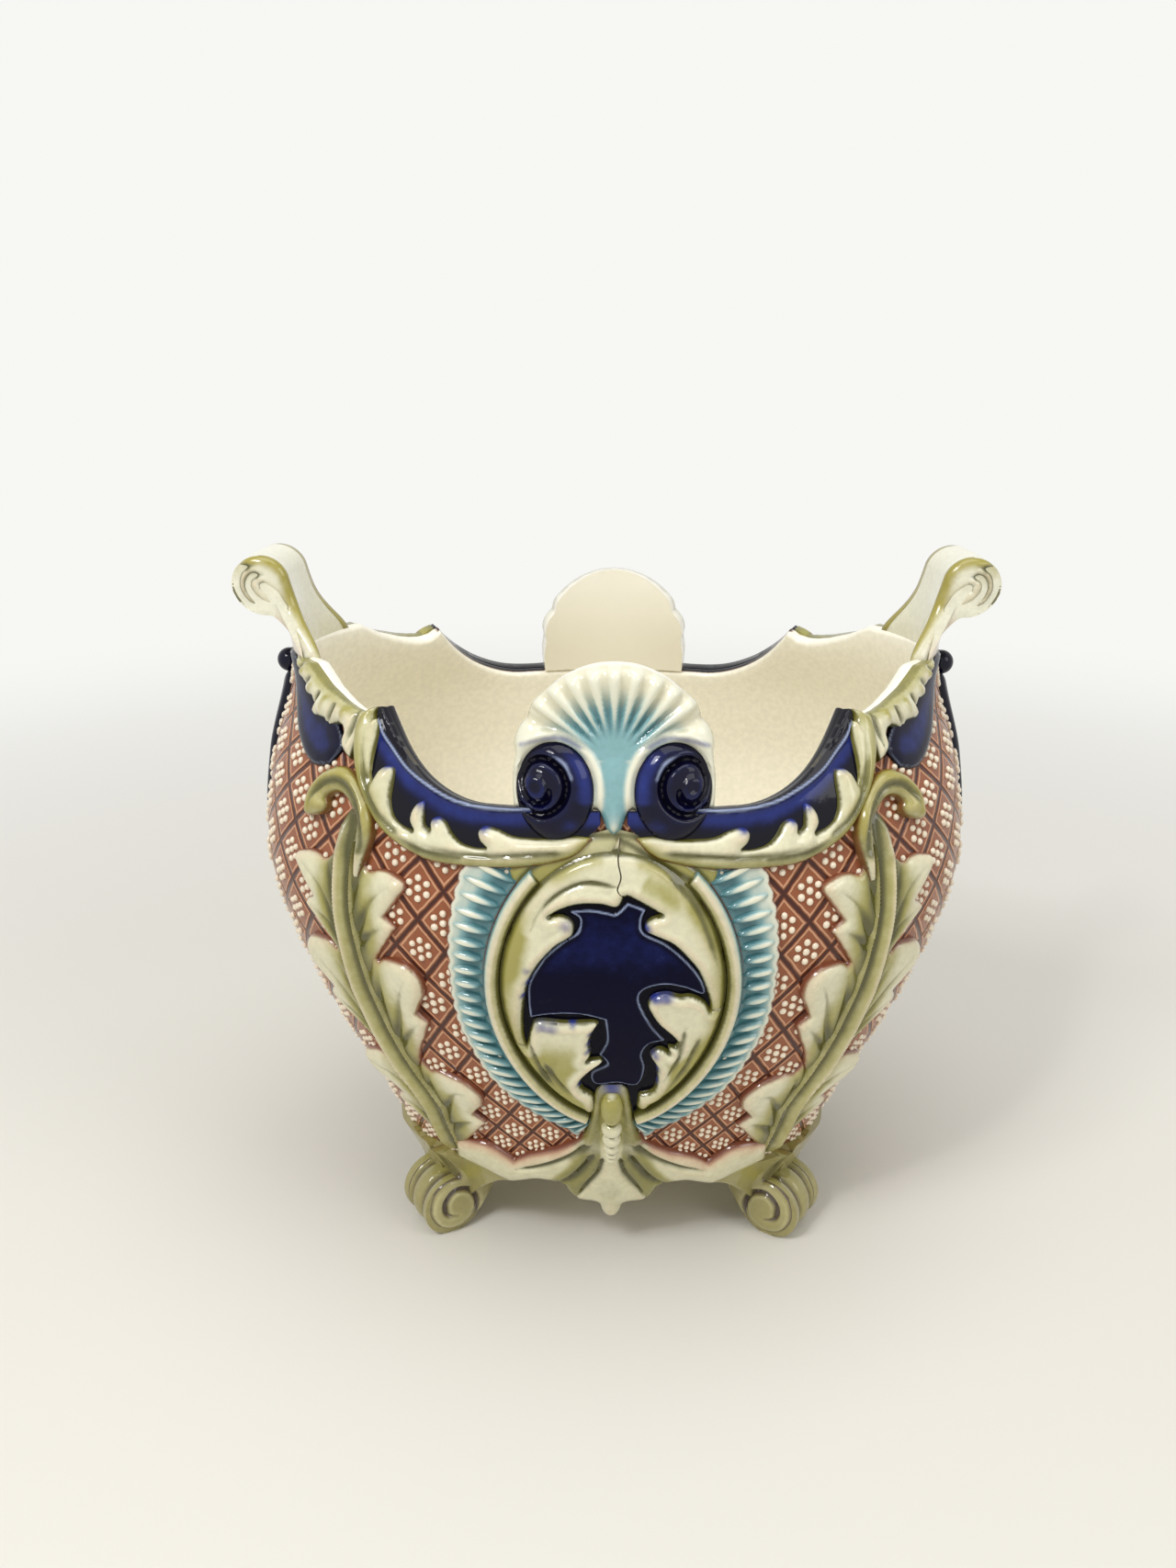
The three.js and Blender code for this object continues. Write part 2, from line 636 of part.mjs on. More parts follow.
const apron = cut(relief(face, apronLow, apronHigh, 20, APRON_ACROSS, apronHeight(0)));
const apronSkin = relief(face, apronLow, apronHigh, 20, APRON_ACROSS, apronHeight(CLEARANCE), -DIG);
const apronTool = tool(face, apronLow, apronHigh, 20);
const cornerStem = cut(stemSolid, leafTool, apronTool);
// Drop of turned beads: a long bead over five small ones, on one core.
const DROP = { top: 106, core: 1.6, out: RELIEF + 0.4 };
const BEADS = [
  { r: 4.2, long: 17 }, { r: 3.9, long: 7 }, { r: 3.7, long: 6.2 }, { r: 3.4, long: 5.6 },
  { r: 3, long: 5 }, { r: 2.6, long: 4.6 },
];
function dropProfile() {
  const points = [vec2([0, 0])];
  let down = 0;
  BEADS.forEach(({ r, long }) => {
    [0.3, 0.7].forEach((s) => {
      points.push(vec2([r, -(down + long * s)]));
    });
    down += long;
    points.push(vec2([DROP.core, -down]));
  });
  points[points.length - 1].x = 0;
  return points;
}
const dropHead = face(0, DROP.top, DROP.out);
const dropFoot = face(0, DROP.top - BEADS.reduce((sum, { long }) => sum + long, 0), DROP.out);
const dropShape = new THREE.LatheGeometry(dropProfile(), 8);
dropShape.rotateX(Math.PI / 2);
dropShape.rotateX(-Math.atan2(dropHead.y - dropFoot.y, dropHead.z - dropFoot.z));
dropShape.translate(...dropHead.toArray());
const beadDrop = seated(solidOf(dropShape), apronSkin);

// ---------------------------------------------------------------- medallion
const ringTool = tool(face, ringIn, ringOut, RING_STEPS);
const ring = cut(
  relief(face, ringIn, ringOut, RING_STEPS, [0, 0.5, 1], ringHeight),
  leafTool,
  apronTool,
);
const ribSteps = FRILL_RIBS * 2;
const frill = cut(
  relief(face, frillIn, frillOut, ribSteps, [0, 1], frillHeight),
  leafTool,
  ringTool,
  apronTool,
);
const fieldLine = (from, to, grow) => ovalLine(() => grow, from, to);
const mirrored = (line) => (t) => {
  const p = line(t);
  return vec2([-p.x, p.y]);
};
// Outline of the blue panel from top to bottom, left and right edge row by row.
const PANEL_LEFT = [
  [0.5, 189.8], [-9.9, 187.2], [-21.1, 184.2], [-16.8, 180.6], [-19.5, 175.6], [-27.2, 169.7],
  [-33.3, 160], [-35.5, 153], [-35.7, 147.5], [-35.9, 144], [-35.9, 141], [-35.1, 138.2],
  [-13.8, 136.8], [-6.5, 133.4], [-6.8, 127], [-10.5, 118.6], [-4.9, 115.6], [-9.8, 111.8],
  [-12.1, 104.6], [-8.9, 97],
];
const PANEL_RIGHT = [
  [4, 190.2], [9.5, 188.6], [16.9, 184], [10.7, 180.6], [14.1, 176.2], [21.9, 171],
  [29.5, 162], [34.3, 153.2], [33.9, 150], [18, 149.2], [11.9, 147.6], [11.7, 143],
  [14.7, 136.8], [18.5, 131.4], [22.7, 126], [20.9, 121.5], [12.3, 120.2], [15.9, 111.4],
  [15.5, 103.2], [12.1, 97],
];
const seam = 2 * CLEARANCE; // drawn off the panel edge so that the true gap stays open
// The same list moved sideways by d, to its left as it runs when d > 0.
const beside = (list, d) =>
  list.map((p, i) => {
    const before = vec2(list[Math.max(i - 1, 0)]);
    const after = vec2(list[Math.min(i + 1, list.length - 1)]);
    const ways = [vec2(p).sub(before), after.sub(vec2(p))].filter((w) => w.length() > 0);
    const side = ways.reduce((sum, w) => sum.add(w.normalize()), vec2([0, 0])).normalize();
    return [p[0] - d * side.y, p[1] + d * side.x];
  });
const innerRing = (grow) => -OVAL.ring - grow;
const upperRight = {
  a: pointed([[-0.4, 209], [-0.4, 197], ...beside(PANEL_RIGHT, seam).slice(0, 9)]),
  b: fieldLine(0.02, 1.6, innerRing(seam)),
  n: 10,
};
const upperLeft = {
  a: pointed([[0.4, 209], [0.4, 197], ...beside(PANEL_LEFT, -seam).slice(0, 11)]),
  b: (t) => mirrored(fieldLine(0.02, 1.74, innerRing(seam)))(t),
  n: 12,
};
const lowerRight = {
  a: pointed(beside(PANEL_RIGHT, seam).slice(8)),
  b: fieldLine(1.66, 2.84, innerRing(seam)),
  n: 11,
};
const lowerLeft = {
  a: pointed(beside(PANEL_LEFT, -seam).slice(11)),
  b: (t) => mirrored(fieldLine(1.82, 2.84, innerRing(seam)))(t),
  n: 8,
};
const LEAF_ACROSS = [0, 0.5, 1];
const leafCrown = (t, s) => 3 + 2.6 * Math.sin(Math.PI * (0.2 + 0.7 * s));
const drawn = ({ a, b, n }) => relief(face, a, b, n, LEAF_ACROSS, leafCrown);
const upperLeaves = cut(
  join(drawn(upperRight), drawn(upperLeft)),
  leafTool,
  flipX(leafTool),
  tool(face, cuspLine(-1), cuspLine(1), 5),
);
const lowerLeafRight = drawn(lowerRight);
const lowerLeafLeft = drawn(lowerLeft);
const PANEL_ACROSS = [0, 0.5, 1];
const medallionPanel = cut(
  relief(
    face,
    pointed(PANEL_LEFT),
    pointed(PANEL_RIGHT),
    PANEL_LEFT.length - 1,
    PANEL_ACROSS,
    () => 2.2,
    SEAT,
    0,
    [...PANEL_ACROSS].reverse(),
  ),
  apronTool,
);

// ---------------------------------------------------------------- ends: rocaille, field, strap
const END_SEAT = 1.3; // the hollow neck of the end wall needs more room under its relief
const rocailleLow = pointed([
  [54, 231], [56.5, 232.5], [57.4, 238.5], [60.6, 235.5], [63, 238.5], [65.2, 238], [66.8, 243.5],
  [69.2, 240.5], [70, 245], [72.5, 246], [74.5, 250.5], [77, 253], [80, 257],
]);
const rocailleHeight = (t, s) => 2.6 + 3 * Math.sin(Math.PI * (0.1 + 0.8 * s));
const rocailleTop = rimLine(54, 81);
const rocaille = cut(
  relief(round, rocailleLow, rocailleTop, 12, LEAF_ACROSS, rocailleHeight, END_SEAT),
  leafTool,
  stemTool,
);
const rocailleTool = tool(round, rocailleLow, rocailleTop, 12);
const swagLow = smooth([[57.5, 226], [61.5, 223.4], [66, 226], [70, 230.3], [76, 240.6], [81, 250], [84, 257]]);
const swagHigh = smooth([[57.5, 231], [61.5, 238], [66, 244], [70, 248], [76, 254], [81, 257], [86, 257.6]]);
const endField = cut(
  relief(round, swagLow, swagHigh, 8, [0, 1], () => 2.2, END_SEAT),
  rocailleTool,
  stemTool,
);
const STRAP = { top: 246, bottom: 122, half: 3, thick: 4.5 };
const strapSide = (sign) => (t) =>
  vec2([90 + sign * STRAP.half * Math.sin(Math.PI * lerp(0.35, 0.93, t)), lerp(STRAP.top, STRAP.bottom, t)]);
const knob = new THREE.SphereGeometry(5.2, 8, 5);
const knobAt = round(90, 249.5, 2.5);
knob.translate(knobAt.x, knobAt.y, knobAt.z);
const strap = seated(
  join(
    relief(round, strapSide(-1), strapSide(1), 7, [0, 0.5, 1], (t, s) =>
      lerp(1.5, STRAP.thick, Math.sin(Math.PI * s) * Math.sin(Math.PI * lerp(0.25, 0.9, t))),
    ),
    solidOf(knob),
  ),
);

// ---------------------------------------------------------------- rolled handles
const handleShape = new THREE.Shape();
handleShape.moveTo(130.8, NECK_Z + CLEARANCE);
handleShape.lineTo(137.8, NECK_Z + CLEARANCE);
handleShape.quadraticCurveTo(138, 268, 144.5, HANDLE.z - HANDLE.r + 0.2);
handleShape.absarc(HANDLE.x, HANDLE.z, HANDLE.r, rad(-96), rad(158), false);
handleShape.quadraticCurveTo(132.2, 276, 130.8, NECK_Z + CLEARANCE);
const tongueHalf = (z) => lerp(HANDLE.tongue, HANDLE.half, smoothstep(z, NECK_Z - 8, 281));
const HANDLE_STEPS = 3;
const nearEnd = (f) => Math.sign(f) * (Math.abs(f) > 0.9 ? 1 : 0.85);

// Reach of the wall toward the handle, at a distance y from the middle of the end.
function endReach(y, z) {
  const end = through(BODY, "end", z);
  const front = through(BODY, "front", z);
  const power = through(BODY, "power", z);
  return end * (1 - Math.abs(y / front) ** power) ** (1 / power);
}

const ROUNDED_END = 0.94; // the two ends of the roll are drawn in by this factor
function handleSolid() {
  const g = new THREE.ExtrudeGeometry(handleShape, {
    depth: 2,
    steps: HANDLE_STEPS,
    bevelEnabled: false,
    curveSegments: 6,
  });
  const p = g.getAttribute("position");
  for (let i = 0; i < p.count; i += 1) {
    const f = nearEnd(p.getZ(i) - 1);
    const outer = Math.abs(f) > 0.99 ? ROUNDED_END : 1;
    const z = HANDLE.z + (p.getY(i) - HANDLE.z) * (p.getY(i) > HANDLE.z - HANDLE.r ? outer : 1);
    const y = -f * tongueHalf(z);
    const curve = endReach(0, z) - endReach(y, z);
    const x = HANDLE.x + (p.getX(i) - HANDLE.x) * outer;
    p.setXYZ(i, x - curve * lerp(1, 0.2, smoothstep(z, NECK_Z, HANDLE.z)), y, z);
  }
  g.deleteAttribute("normal");
  g.deleteAttribute("uv");
  return solidOf(mergeVertices(g, 1e-4));
}

// Flat sheet on an end face: u outward along "out", v up, h off the face.
function flatSheet(origin, out, off) {
  const sheet = (u, v, h) =>
    origin.clone().addScaledVector(out, u).addScaledVector(off, h).add(vec(0, 0, v));
  sheet.scale = 1;
  return sheet;
}

const SCROLL = { cord: 3.6, high: 2, turns: 1.2 };
function endScroll(origin, out, off, radius, turn) {
  const sheet = flatSheet(origin, out, off);
  return spiral(
    sheet, 0, 0, radius, radius, turn, Math.PI / 2, SCROLL.turns, SCROLL.cord, SCROLL.high, DIG, 7,
  );
}
const handleEnd = (sign) =>
  endScroll(
    vec(HANDLE.x - 1.2, sign * HANDLE.half, HANDLE.z),
    vec(1, 0, 0),
    vec(0, sign, 0),
    HANDLE.r - 1.6,
    -1,
  );
const handle = cut(join(handleSolid(), handleEnd(1), handleEnd(-1)), ...skins);

// ---------------------------------------------------------------- scroll feet with their webs
const footOut = vec(Math.sin(rad(FOOT.az)), -Math.cos(rad(FOOT.az)), 0);
const footAlong = vec(-Math.cos(rad(FOOT.az)), -Math.sin(rad(FOOT.az)), 0);
const FOOT_TOP_Z = BODY_FOOT_Z - CLEARANCE;
const flatHalf = Math.acos(FOOT.z / FOOT.r); // half angle of the ground flat
const footShape = new THREE.Shape();
footShape.moveTo(62, FOOT_TOP_Z);
footShape.quadraticCurveTo(68, 20, 80, 5);
footShape.lineTo(FOOT.rho - FOOT.r * Math.sin(flatHalf), 0);
footShape.absarc(FOOT.rho, FOOT.z, FOOT.r, -Math.PI / 2 + flatHalf, rad(98), false);
footShape.quadraticCurveTo(90, 34, 99, FOOT_TOP_Z);

const FOOT_ROUND = 0.9; // the end faces of the foot are drawn in by this factor
function footSolid() {
  const g = new THREE.ExtrudeGeometry(footShape, {
    depth: 2,
    steps: HANDLE_STEPS,
    bevelEnabled: false,
    curveSegments: 5,
  });
  const p = g.getAttribute("position");
  for (let i = 0; i < p.count; i += 1) {
    const f = nearEnd(p.getZ(i) - 1);
    const outer = Math.abs(f) > 0.99 ? FOOT_ROUND : 1;
    const rho = FOOT.rho + (p.getX(i) - FOOT.rho) * outer;
    const top = p.getY(i) > FOOT_TOP_Z - 1;
    const z = top ? p.getY(i) : FOOT.z + (p.getY(i) - FOOT.z) * outer;
    p.setXYZ(i, rho, z, f * FOOT.half);
  }
  g.applyMatrix4(new THREE.Matrix4().makeBasis(footOut, vec(0, 0, 1), footAlong));
  g.deleteAttribute("normal");
  g.deleteAttribute("uv");
  return solidOf(mergeVertices(g, 1e-4));
}
const footMid = footOut.clone().multiplyScalar(FOOT.rho).setZ(FOOT.z);
const footEnd = (sign) =>
  endScroll(
    footMid.clone().addScaledVector(footAlong, sign * FOOT.half),
    footOut,
    footAlong.clone().multiplyScalar(sign),
    FOOT.r - 1.4,
    -1,
  );
const webHeight = () => 2.5;
const WEB_BACK = -3;
const webFront = relief(
  face,
  smooth([[45, 38.5], [51, 33.5], [58, 24], [64, 12], [68, 3]]),
  smooth([[45, FOOT_TOP_Z], [53, FOOT_TOP_Z], [61, FOOT_TOP_Z], [69, FOOT_TOP_Z], [76, FOOT_TOP_Z]]),
  4,
  [0, 1],
  webHeight,
  WEB_BACK,
);
const webEnd = relief(
  round,
  smooth([[84, 38.5], [78, 32], [72, 22], [67, 12], [63, 4]]),
  smooth([[84, FOOT_TOP_Z], [76, FOOT_TOP_Z], [69, FOOT_TOP_Z], [62, FOOT_TOP_Z], [57, FOOT_TOP_Z]]),
  4,
  [0, 1],
  webHeight,
  WEB_BACK,
);
const foot = cut(join(footSolid(), footEnd(1), footEnd(-1), webFront, webEnd), apronTool);

// ---------------------------------------------------------------- assembly
pair("wall", frontWall, GLAZE.brown);
pair("wall", endWall, GLAZE.brown, ["right", "left"]);
add("bowl_floor", ovalPlate(), GLAZE.cream);
pair("shell_crest", crest, GLAZE.teal);
four("volute", volute, GLAZE.navy);
four("rim_band", rimBand, GLAZE.navy);
four("rim_leaf", rimLeaf, GLAZE.olive);
four("corner_stem", cornerStem, GLAZE.olive);
pair("medallion_ring_right", ring, GLAZE.pale);
pair("medallion_ring_left", flipX(ring), GLAZE.pale);
four("medallion_frill", frill, GLAZE.teal);
pair("medallion_upper_leaves", upperLeaves, GLAZE.pale);
pair("medallion_lower_leaf_right", lowerLeafRight, GLAZE.pale);
pair("medallion_lower_leaf_left", lowerLeafLeft, GLAZE.pale);
pair("medallion_panel", medallionPanel, GLAZE.navy);
pair("apron_palmette", apron, GLAZE.pale);
pair("bead_drop", beadDrop, GLAZE.olive);
four("end_rocaille", rocaille, GLAZE.pale);
four("end_field", endField, GLAZE.navy);
pair("end_strap", strap, GLAZE.navy, ["right", "left"]);
pair("handle", handle, GLAZE.cream, ["right", "left"]);
four("foot", foot, GLAZE.foot);

export default root;
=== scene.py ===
import functools
import math

import bpy
import numpy as np
from bpy.props import FloatProperty, FloatVectorProperty, IntProperty, PointerProperty
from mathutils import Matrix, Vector
from mathutils.geometry import delaunay_2d_cdt


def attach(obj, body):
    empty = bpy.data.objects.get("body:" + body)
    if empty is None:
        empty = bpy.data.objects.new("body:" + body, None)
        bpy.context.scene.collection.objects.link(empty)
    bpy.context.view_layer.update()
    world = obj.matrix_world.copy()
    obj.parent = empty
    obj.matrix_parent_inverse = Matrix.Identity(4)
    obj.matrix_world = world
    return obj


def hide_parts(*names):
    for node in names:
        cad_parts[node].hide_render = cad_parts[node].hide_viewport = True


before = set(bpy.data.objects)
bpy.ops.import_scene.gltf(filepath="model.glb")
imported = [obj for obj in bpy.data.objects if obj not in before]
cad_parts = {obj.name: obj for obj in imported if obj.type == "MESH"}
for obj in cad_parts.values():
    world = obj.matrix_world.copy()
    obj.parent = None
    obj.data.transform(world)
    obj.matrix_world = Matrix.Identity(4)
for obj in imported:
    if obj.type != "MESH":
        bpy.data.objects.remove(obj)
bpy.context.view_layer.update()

bl_info = {
    "name": "Oval relief jardiniere",
    "version": (1, 0, 0),
    "blender": (4, 5, 0),
    "location": "View3D > Sidebar > Jardiniere",
    "description": "Glazed earthenware jardiniere on scroll feet, piece by piece",
    "category": "Object",
}

MM = 0.001

# ------------------------------------------------------------------ the body surface, in mm
# Plan of the body at each height: z, half length, half depth, squareness of the oval.
BODY = np.array([
    (8, 85, 65, 2.3), (42, 98.5, 76.5, 2.3), (70, 111.5, 87, 2.3), (120, 135, 104.5, 2.25),
    (170, 150.5, 115.5, 2.2), (210, 147.5, 111.5, 2.1), (250, 137.5, 103.5, 1.7),
    (290, 140, 103.5, 1.65),
])
LAST_STATION = len(BODY) - 1


def rise_near(k):
    """Change of every column of BODY to one mm of height, across the stations beside k."""
    run = BODY[min(k + 1, LAST_STATION)] - BODY[max(k - 1, 0)]
    return run / run[0]


BODY_SLOPE = np.array([rise_near(k) for k in range(len(BODY))])
WALL = 7.0
BODY_FOOT_Z = 42.0
FLOOR_TOP_Z = 52.0
RIM_LOW_Z = 221.5
PEAK_Z = 249.5
PEAK_AZ = 50.2
NECK_Z = 258.0
CORNER_AZ = 51.0
HOLLOW_AZ = 24.6
RIM_SWEEP = 1.8
ARC = 2.3  # mm along the wall to one degree of azimuth
END_RIM = [(PEAK_AZ, PEAK_Z), (52, 247), (54.5, 246), (57, 246.6), (60, 248), (66, 252), (72, NECK_Z)]


def cubic(t, a, b, leaving, arriving):
    """From a (t = 0) to b (t = 1) with the given tangents."""
    return (
        (2 * t**3 - 3 * t**2 + 1) * a + (t**3 - 2 * t**2 + t) * leaving
        + (3 * t**2 - 2 * t**3) * b + (t**3 - t**2) * arriving
    )


def station(column, z):
    """One column of BODY at the heights z."""
    z = np.asarray(z, float)
    i = np.clip(np.searchsorted(BODY[:, 0], z) - 1, 0, LAST_STATION - 1)
    h = BODY[i + 1, 0] - BODY[i, 0]
    slopes = BODY_SLOPE[i, column], BODY_SLOPE[i + 1, column]
    return cubic((z - BODY[i, 0]) / h, BODY[i, column], BODY[i + 1, column], *(h * k for k in slopes))


def wall_foot(azimuth, z):
    """Place on the outer skin; azimuth in radians from the front centre."""
    end, front, power = (station(k, z) for k in (1, 2, 3))
    s, c = np.sin(azimuth), np.cos(azimuth)
    r = (np.abs(s / end) ** power + np.abs(c / front) ** power) ** (-1 / power)
    return np.stack([r * s, -r * c, np.asarray(z, float) + 0 * r], -1)


def wall_normal(azimuth, z):
    """Direction straight off the wall there."""
    along = wall_foot(azimuth + 0.01, z) - wall_foot(azimuth - 0.01, z)
    up = wall_foot(azimuth, z + 1.0) - wall_foot(azimuth, z - 1.0)
    n = np.cross(along, up)
    return n / np.linalg.norm(n, axis=-1, keepdims=True)


def on_wall(azimuth, v, h):
    """Azimuth in degrees from the front centre, height, and mm off the wall."""
    a = np.radians(azimuth)
    return wall_foot(a, v) + wall_normal(a, v) * np.asarray(h, float)[..., None]


def round_sheet(u, v, h):
    """Drawing coordinates: mm round the wall from the front centre, height."""
    return on_wall(u / ARC, v, h)


def face_sheet(u, v, h):
    """Drawing coordinates: x and height."""
    end, front, power = (station(k, v) for k in (1, 2, 3))
    y = front * (1 - np.abs(u / end) ** power) ** (1 / power)
    return on_wall(np.degrees(np.arctan2(u, y)), v, h)


def corner_sheet(u, v, h):
    """Drawing coordinates: mm round the wall from the corner line, height."""
    foot = wall_foot(np.radians(CORNER_AZ) + 0 * v, v)
    r = np.hypot(foot[..., 0], foot[..., 1])
    return on_wall(CORNER_AZ + np.degrees(u / r), v, h)


def rim_z(azimuth):
    """Height of the scrolled rim all the way round."""
    a = np.abs((np.asarray(azimuth, float) + 180) % 360 - 180)
    a = np.where(a > 90, 180 - a, a)
    s = np.clip((a - HOLLOW_AZ) / (PEAK_AZ - HOLLOW_AZ), 0, 1)
    sweep = RIM_LOW_Z + (PEAK_Z - RIM_LOW_Z) * s**RIM_SWEEP
    return np.where(a <= PEAK_AZ, sweep, np.interp(a, *zip(*END_RIM)))


def degrees(points):
    """Points drawn in degrees of azimuth, turned into mm round the wall."""
    return [(p[0] * ARC, *p[1:]) for p in points]


# ------------------------------------------------------------------ drawing helpers
CURVE_SLACK = 1.3    # longest tangent of a curve, as a share of the stretch it leads into
SAME_PLACE = 0.15    # mm; closer points of an outline count as one


def smooth(t):
    """0 to 1 with a soft start and end."""
    t = np.clip(t, 0, 1)
    return t * t * (3 - 2 * t)


def bell(x, width):
    """1 where x is 0, falling away smoothly on both sides."""
    return np.exp(-((x / width) ** 2))


def fade(d, width):
    """1 at the start of a distance, falling away behind it."""
    return np.exp(-d / width)


def curve(points, step=1.0):
    """Smooth line through points; a third value of 1 marks a sharp corner."""
    points = [tuple(p) + (0,) * (3 - len(p)) for p in points]
    xy = np.array([p[:2] for p in points], float)
    sharp = [bool(p[2]) for p in points]
    last = len(xy) - 1
    out = [xy[0]]
    for i in range(last):
        a, b = xy[i], xy[i + 1]
        before = a if i == 0 or sharp[i] else xy[i - 1]
        after = b if i + 1 == last or sharp[i + 1] else xy[i + 2]
        ta, tb = (b - before) / 2, (after - a) / 2
        length = np.linalg.norm(b - a)
        for tangent in (ta, tb):
            tangent *= min(1, CURVE_SLACK * length / max(np.linalg.norm(tangent), 1e-6))
        n = max(1, int(round(length / step)))
        t = (np.arange(1, n + 1) / n)[:, None]
        out.extend(cubic(t, a, b, ta, tb))
    return np.array(out)


def evenly(line, count):
    """The same line as count points at equal distances."""
    run = np.concatenate([[0], np.cumsum(np.linalg.norm(np.diff(line, axis=0), axis=1))])
    where = np.linspace(0, run[-1], count)
    return np.stack([np.interp(where, run, line[:, k]) for k in (0, 1)], -1)


def ring_of(*lines):
    """Closed outline from lines that follow each other, anticlockwise."""
    ring = np.concatenate([np.asarray(line, float)[:, :2] for line in lines])
    gap = np.linalg.norm(ring - np.roll(ring, 1, axis=0), axis=1)
    ring = ring[gap > SAME_PLACE]
    x, y = ring[:, 0], ring[:, 1]
    area = np.sum(x * np.roll(y, -1) - np.roll(x, -1) * y)
    return ring if area > 0 else ring[::-1]


def loop(points, step=1.0):
    """Closed smooth outline through points that start at a sharp corner."""
    return ring_of(curve(list(points) + [points[0]], step)[:-1])


def both_halves(half):
    """Outline from its right half, drawn from the top of the middle to its foot."""
    return ring_of(half, (half * (-1, 1))[::-1])


def flipped(points):
    """The same line on the other side of the middle."""
    return [(-p[0], *p[1:]) for p in points]


def to_line(p, line, closed=False):
    """Distance from each point to a line, and how far along it (0 to 1) the nearest place is."""
    a = line if closed else line[:-1]
    b = np.roll(line, -1, axis=0) if closed else line[1:]
    run = np.linalg.norm(b - a, axis=1)
    start = np.concatenate([[0], np.cumsum(run)[:-1]])
    best = np.full(len(p), 1e9)
    where = np.zeros(len(p))
    for i in np.flatnonzero(run > 1e-9):
        t = np.clip((p - a[i]) @ (b[i] - a[i]) / run[i] ** 2, 0, 1)
        d = np.hypot(*(p - a[i] - t[:, None] * (b[i] - a[i])).T)
        near = d < best
        best[near] = d[near]
        where[near] = (start[i] + t[near] * run[i]) / run.sum()
    return best, where


def gap_to(p, line, closed=False):
    """Distance alone from each point to a line."""
    return to_line(p, line, closed)[0]


def inside(p, ring):
    """True for each point within the outline."""
    x, z = p.T
    hit = np.zeros(len(p), bool)
    for (x0, y0), (x1, y1) in zip(ring, np.roll(ring, -1, axis=0)):
        if y0 == y1:
            continue
        crosses = (y0 > z) != (y1 > z)
        hit ^= crosses & (x < (x1 - x0) * (z - y0) / (y1 - y0) + x0)
    return hit


def stroke(p, points, wide, lift=1.0, taper=(0.1, 0.4)):
    """Ridge or groove drawn with one stroke: its height at each point."""
    d, t = to_line(p, curve(points, 1.5))
    body = smooth(t / max(taper[0], 1e-3)) * smooth((1 - t) / max(taper[1], 1e-3))
    return lift * (0.25 + 0.75 * body) * bell(d, wide * (0.5 + 0.5 * body))


def strokes(p, lines, wide, lift=1.0, taper=(0.1, 0.4)):
    """The strongest of several strokes at each point."""
    drawn = np.array([stroke(p, line, wide, 1.0, taper) for line in lines])
    return lift * drawn.max(axis=0)


def swell(d, high, width=1.6, edge=0.6):
    """Soft shoulder that rises from the outline."""
    return edge + (high - edge) * (1 - fade(d, width))


# ------------------------------------------------------------------ meshes
NET_ROW = 0.866    # distance of two rows of a net, as a share of its step
NET_MARGIN = 0.45  # clear strip inside an outline, as a share of the step


class Shape:
    """Points in mm, triangles and per-point masks, before they become an object."""

    def __init__(self, points, faces, masks=None):
        self.points = np.asarray(points, float)
        self.faces = np.asarray(faces, int)
        self.masks = masks or {}

    def turned(self, mirror=False, back=False):
        p = self.points.copy()
        f = self.faces
        if mirror:
            p[:, 0] *= -1
            f = f[:, ::-1]
        if back:
            p[:, :2] *= -1
        return Shape(p, f, self.masks)


def joined(*shapes):
    """Several shapes as one; a mask that one of them lacks is 0 there."""
    start = np.cumsum([0] + [len(s.points) for s in shapes])
    names = set().union(*(s.masks for s in shapes))
    masks = {
        k: np.concatenate([s.masks.get(k, np.zeros(len(s.points))) for s in shapes]) for k in names
    }
    faces = np.concatenate([s.faces + n for s, n in zip(shapes, start)])
    return Shape(np.concatenate([s.points for s in shapes]), faces, masks)


def hollows(faces, height, count, passes=10, reach=0.9):
    """1 where the glaze would pool, -1 where it would run thin, from the relief alone."""
    edges = np.concatenate([faces[:, [0, 1]], faces[:, [1, 2]], faces[:, [2, 0]]])
    near = np.bincount(edges[:, 0], minlength=count) + np.bincount(edges[:, 1], minlength=count)
    level = height.copy()
    for _ in range(passes):
        total = np.bincount(edges[:, 0], level[edges[:, 1]], count)
        total += np.bincount(edges[:, 1], level[edges[:, 0]], count)
        level = 0.4 * level + 0.6 * total / np.maximum(near, 1)
    return np.clip((level - height) / reach, -1, 1)


def filled(ring, step):
    """Fine net of near equal triangles inside an outline: its points and faces."""
    low, high = ring.min(0), ring.max(0)
    grid = np.stack(np.meshgrid(
        np.arange(low[0], high[0], step), np.arange(low[1], high[1], step * NET_ROW)), -1)
    grid[1::2, :, 0] += step / 2
    grid = grid.reshape(-1, 2)
    grid = grid[inside(grid, ring)]
    points = np.concatenate([ring, grid[gap_to(grid, ring, closed=True) > NET_MARGIN * step]])
    n = len(ring)
    edges = [(i, (i + 1) % n) for i in range(n)]
    net = delaunay_2d_cdt([Vector(p) for p in points], edges, [], 1, 1e-6)
    return np.array([tuple(v) for v in net[0]]), np.array([f for f in net[2] if len(f) == 3], int)


def flat_back(points, border, start):
    """Skirt and plain back that close a net; its first point gets the number start."""
    used = sorted({a for a, _ in border})
    order = {a: i for i, a in enumerate(used)}
    skirt = [
        t for a, b in border
        for t in ((b, a, start + order[a]), (b, start + order[a], start + order[b]))
    ]
    flat = delaunay_2d_cdt(
        [Vector(points[a]) for a in used], [(order[a], order[b]) for a, b in border], [], 1, 1e-7)
    origin = [source[0] for source in flat[3]]
    under = [tuple(start + origin[i] for i in reversed(f)) for f in flat[2] if len(f) == 3]
    return used, skirt + under


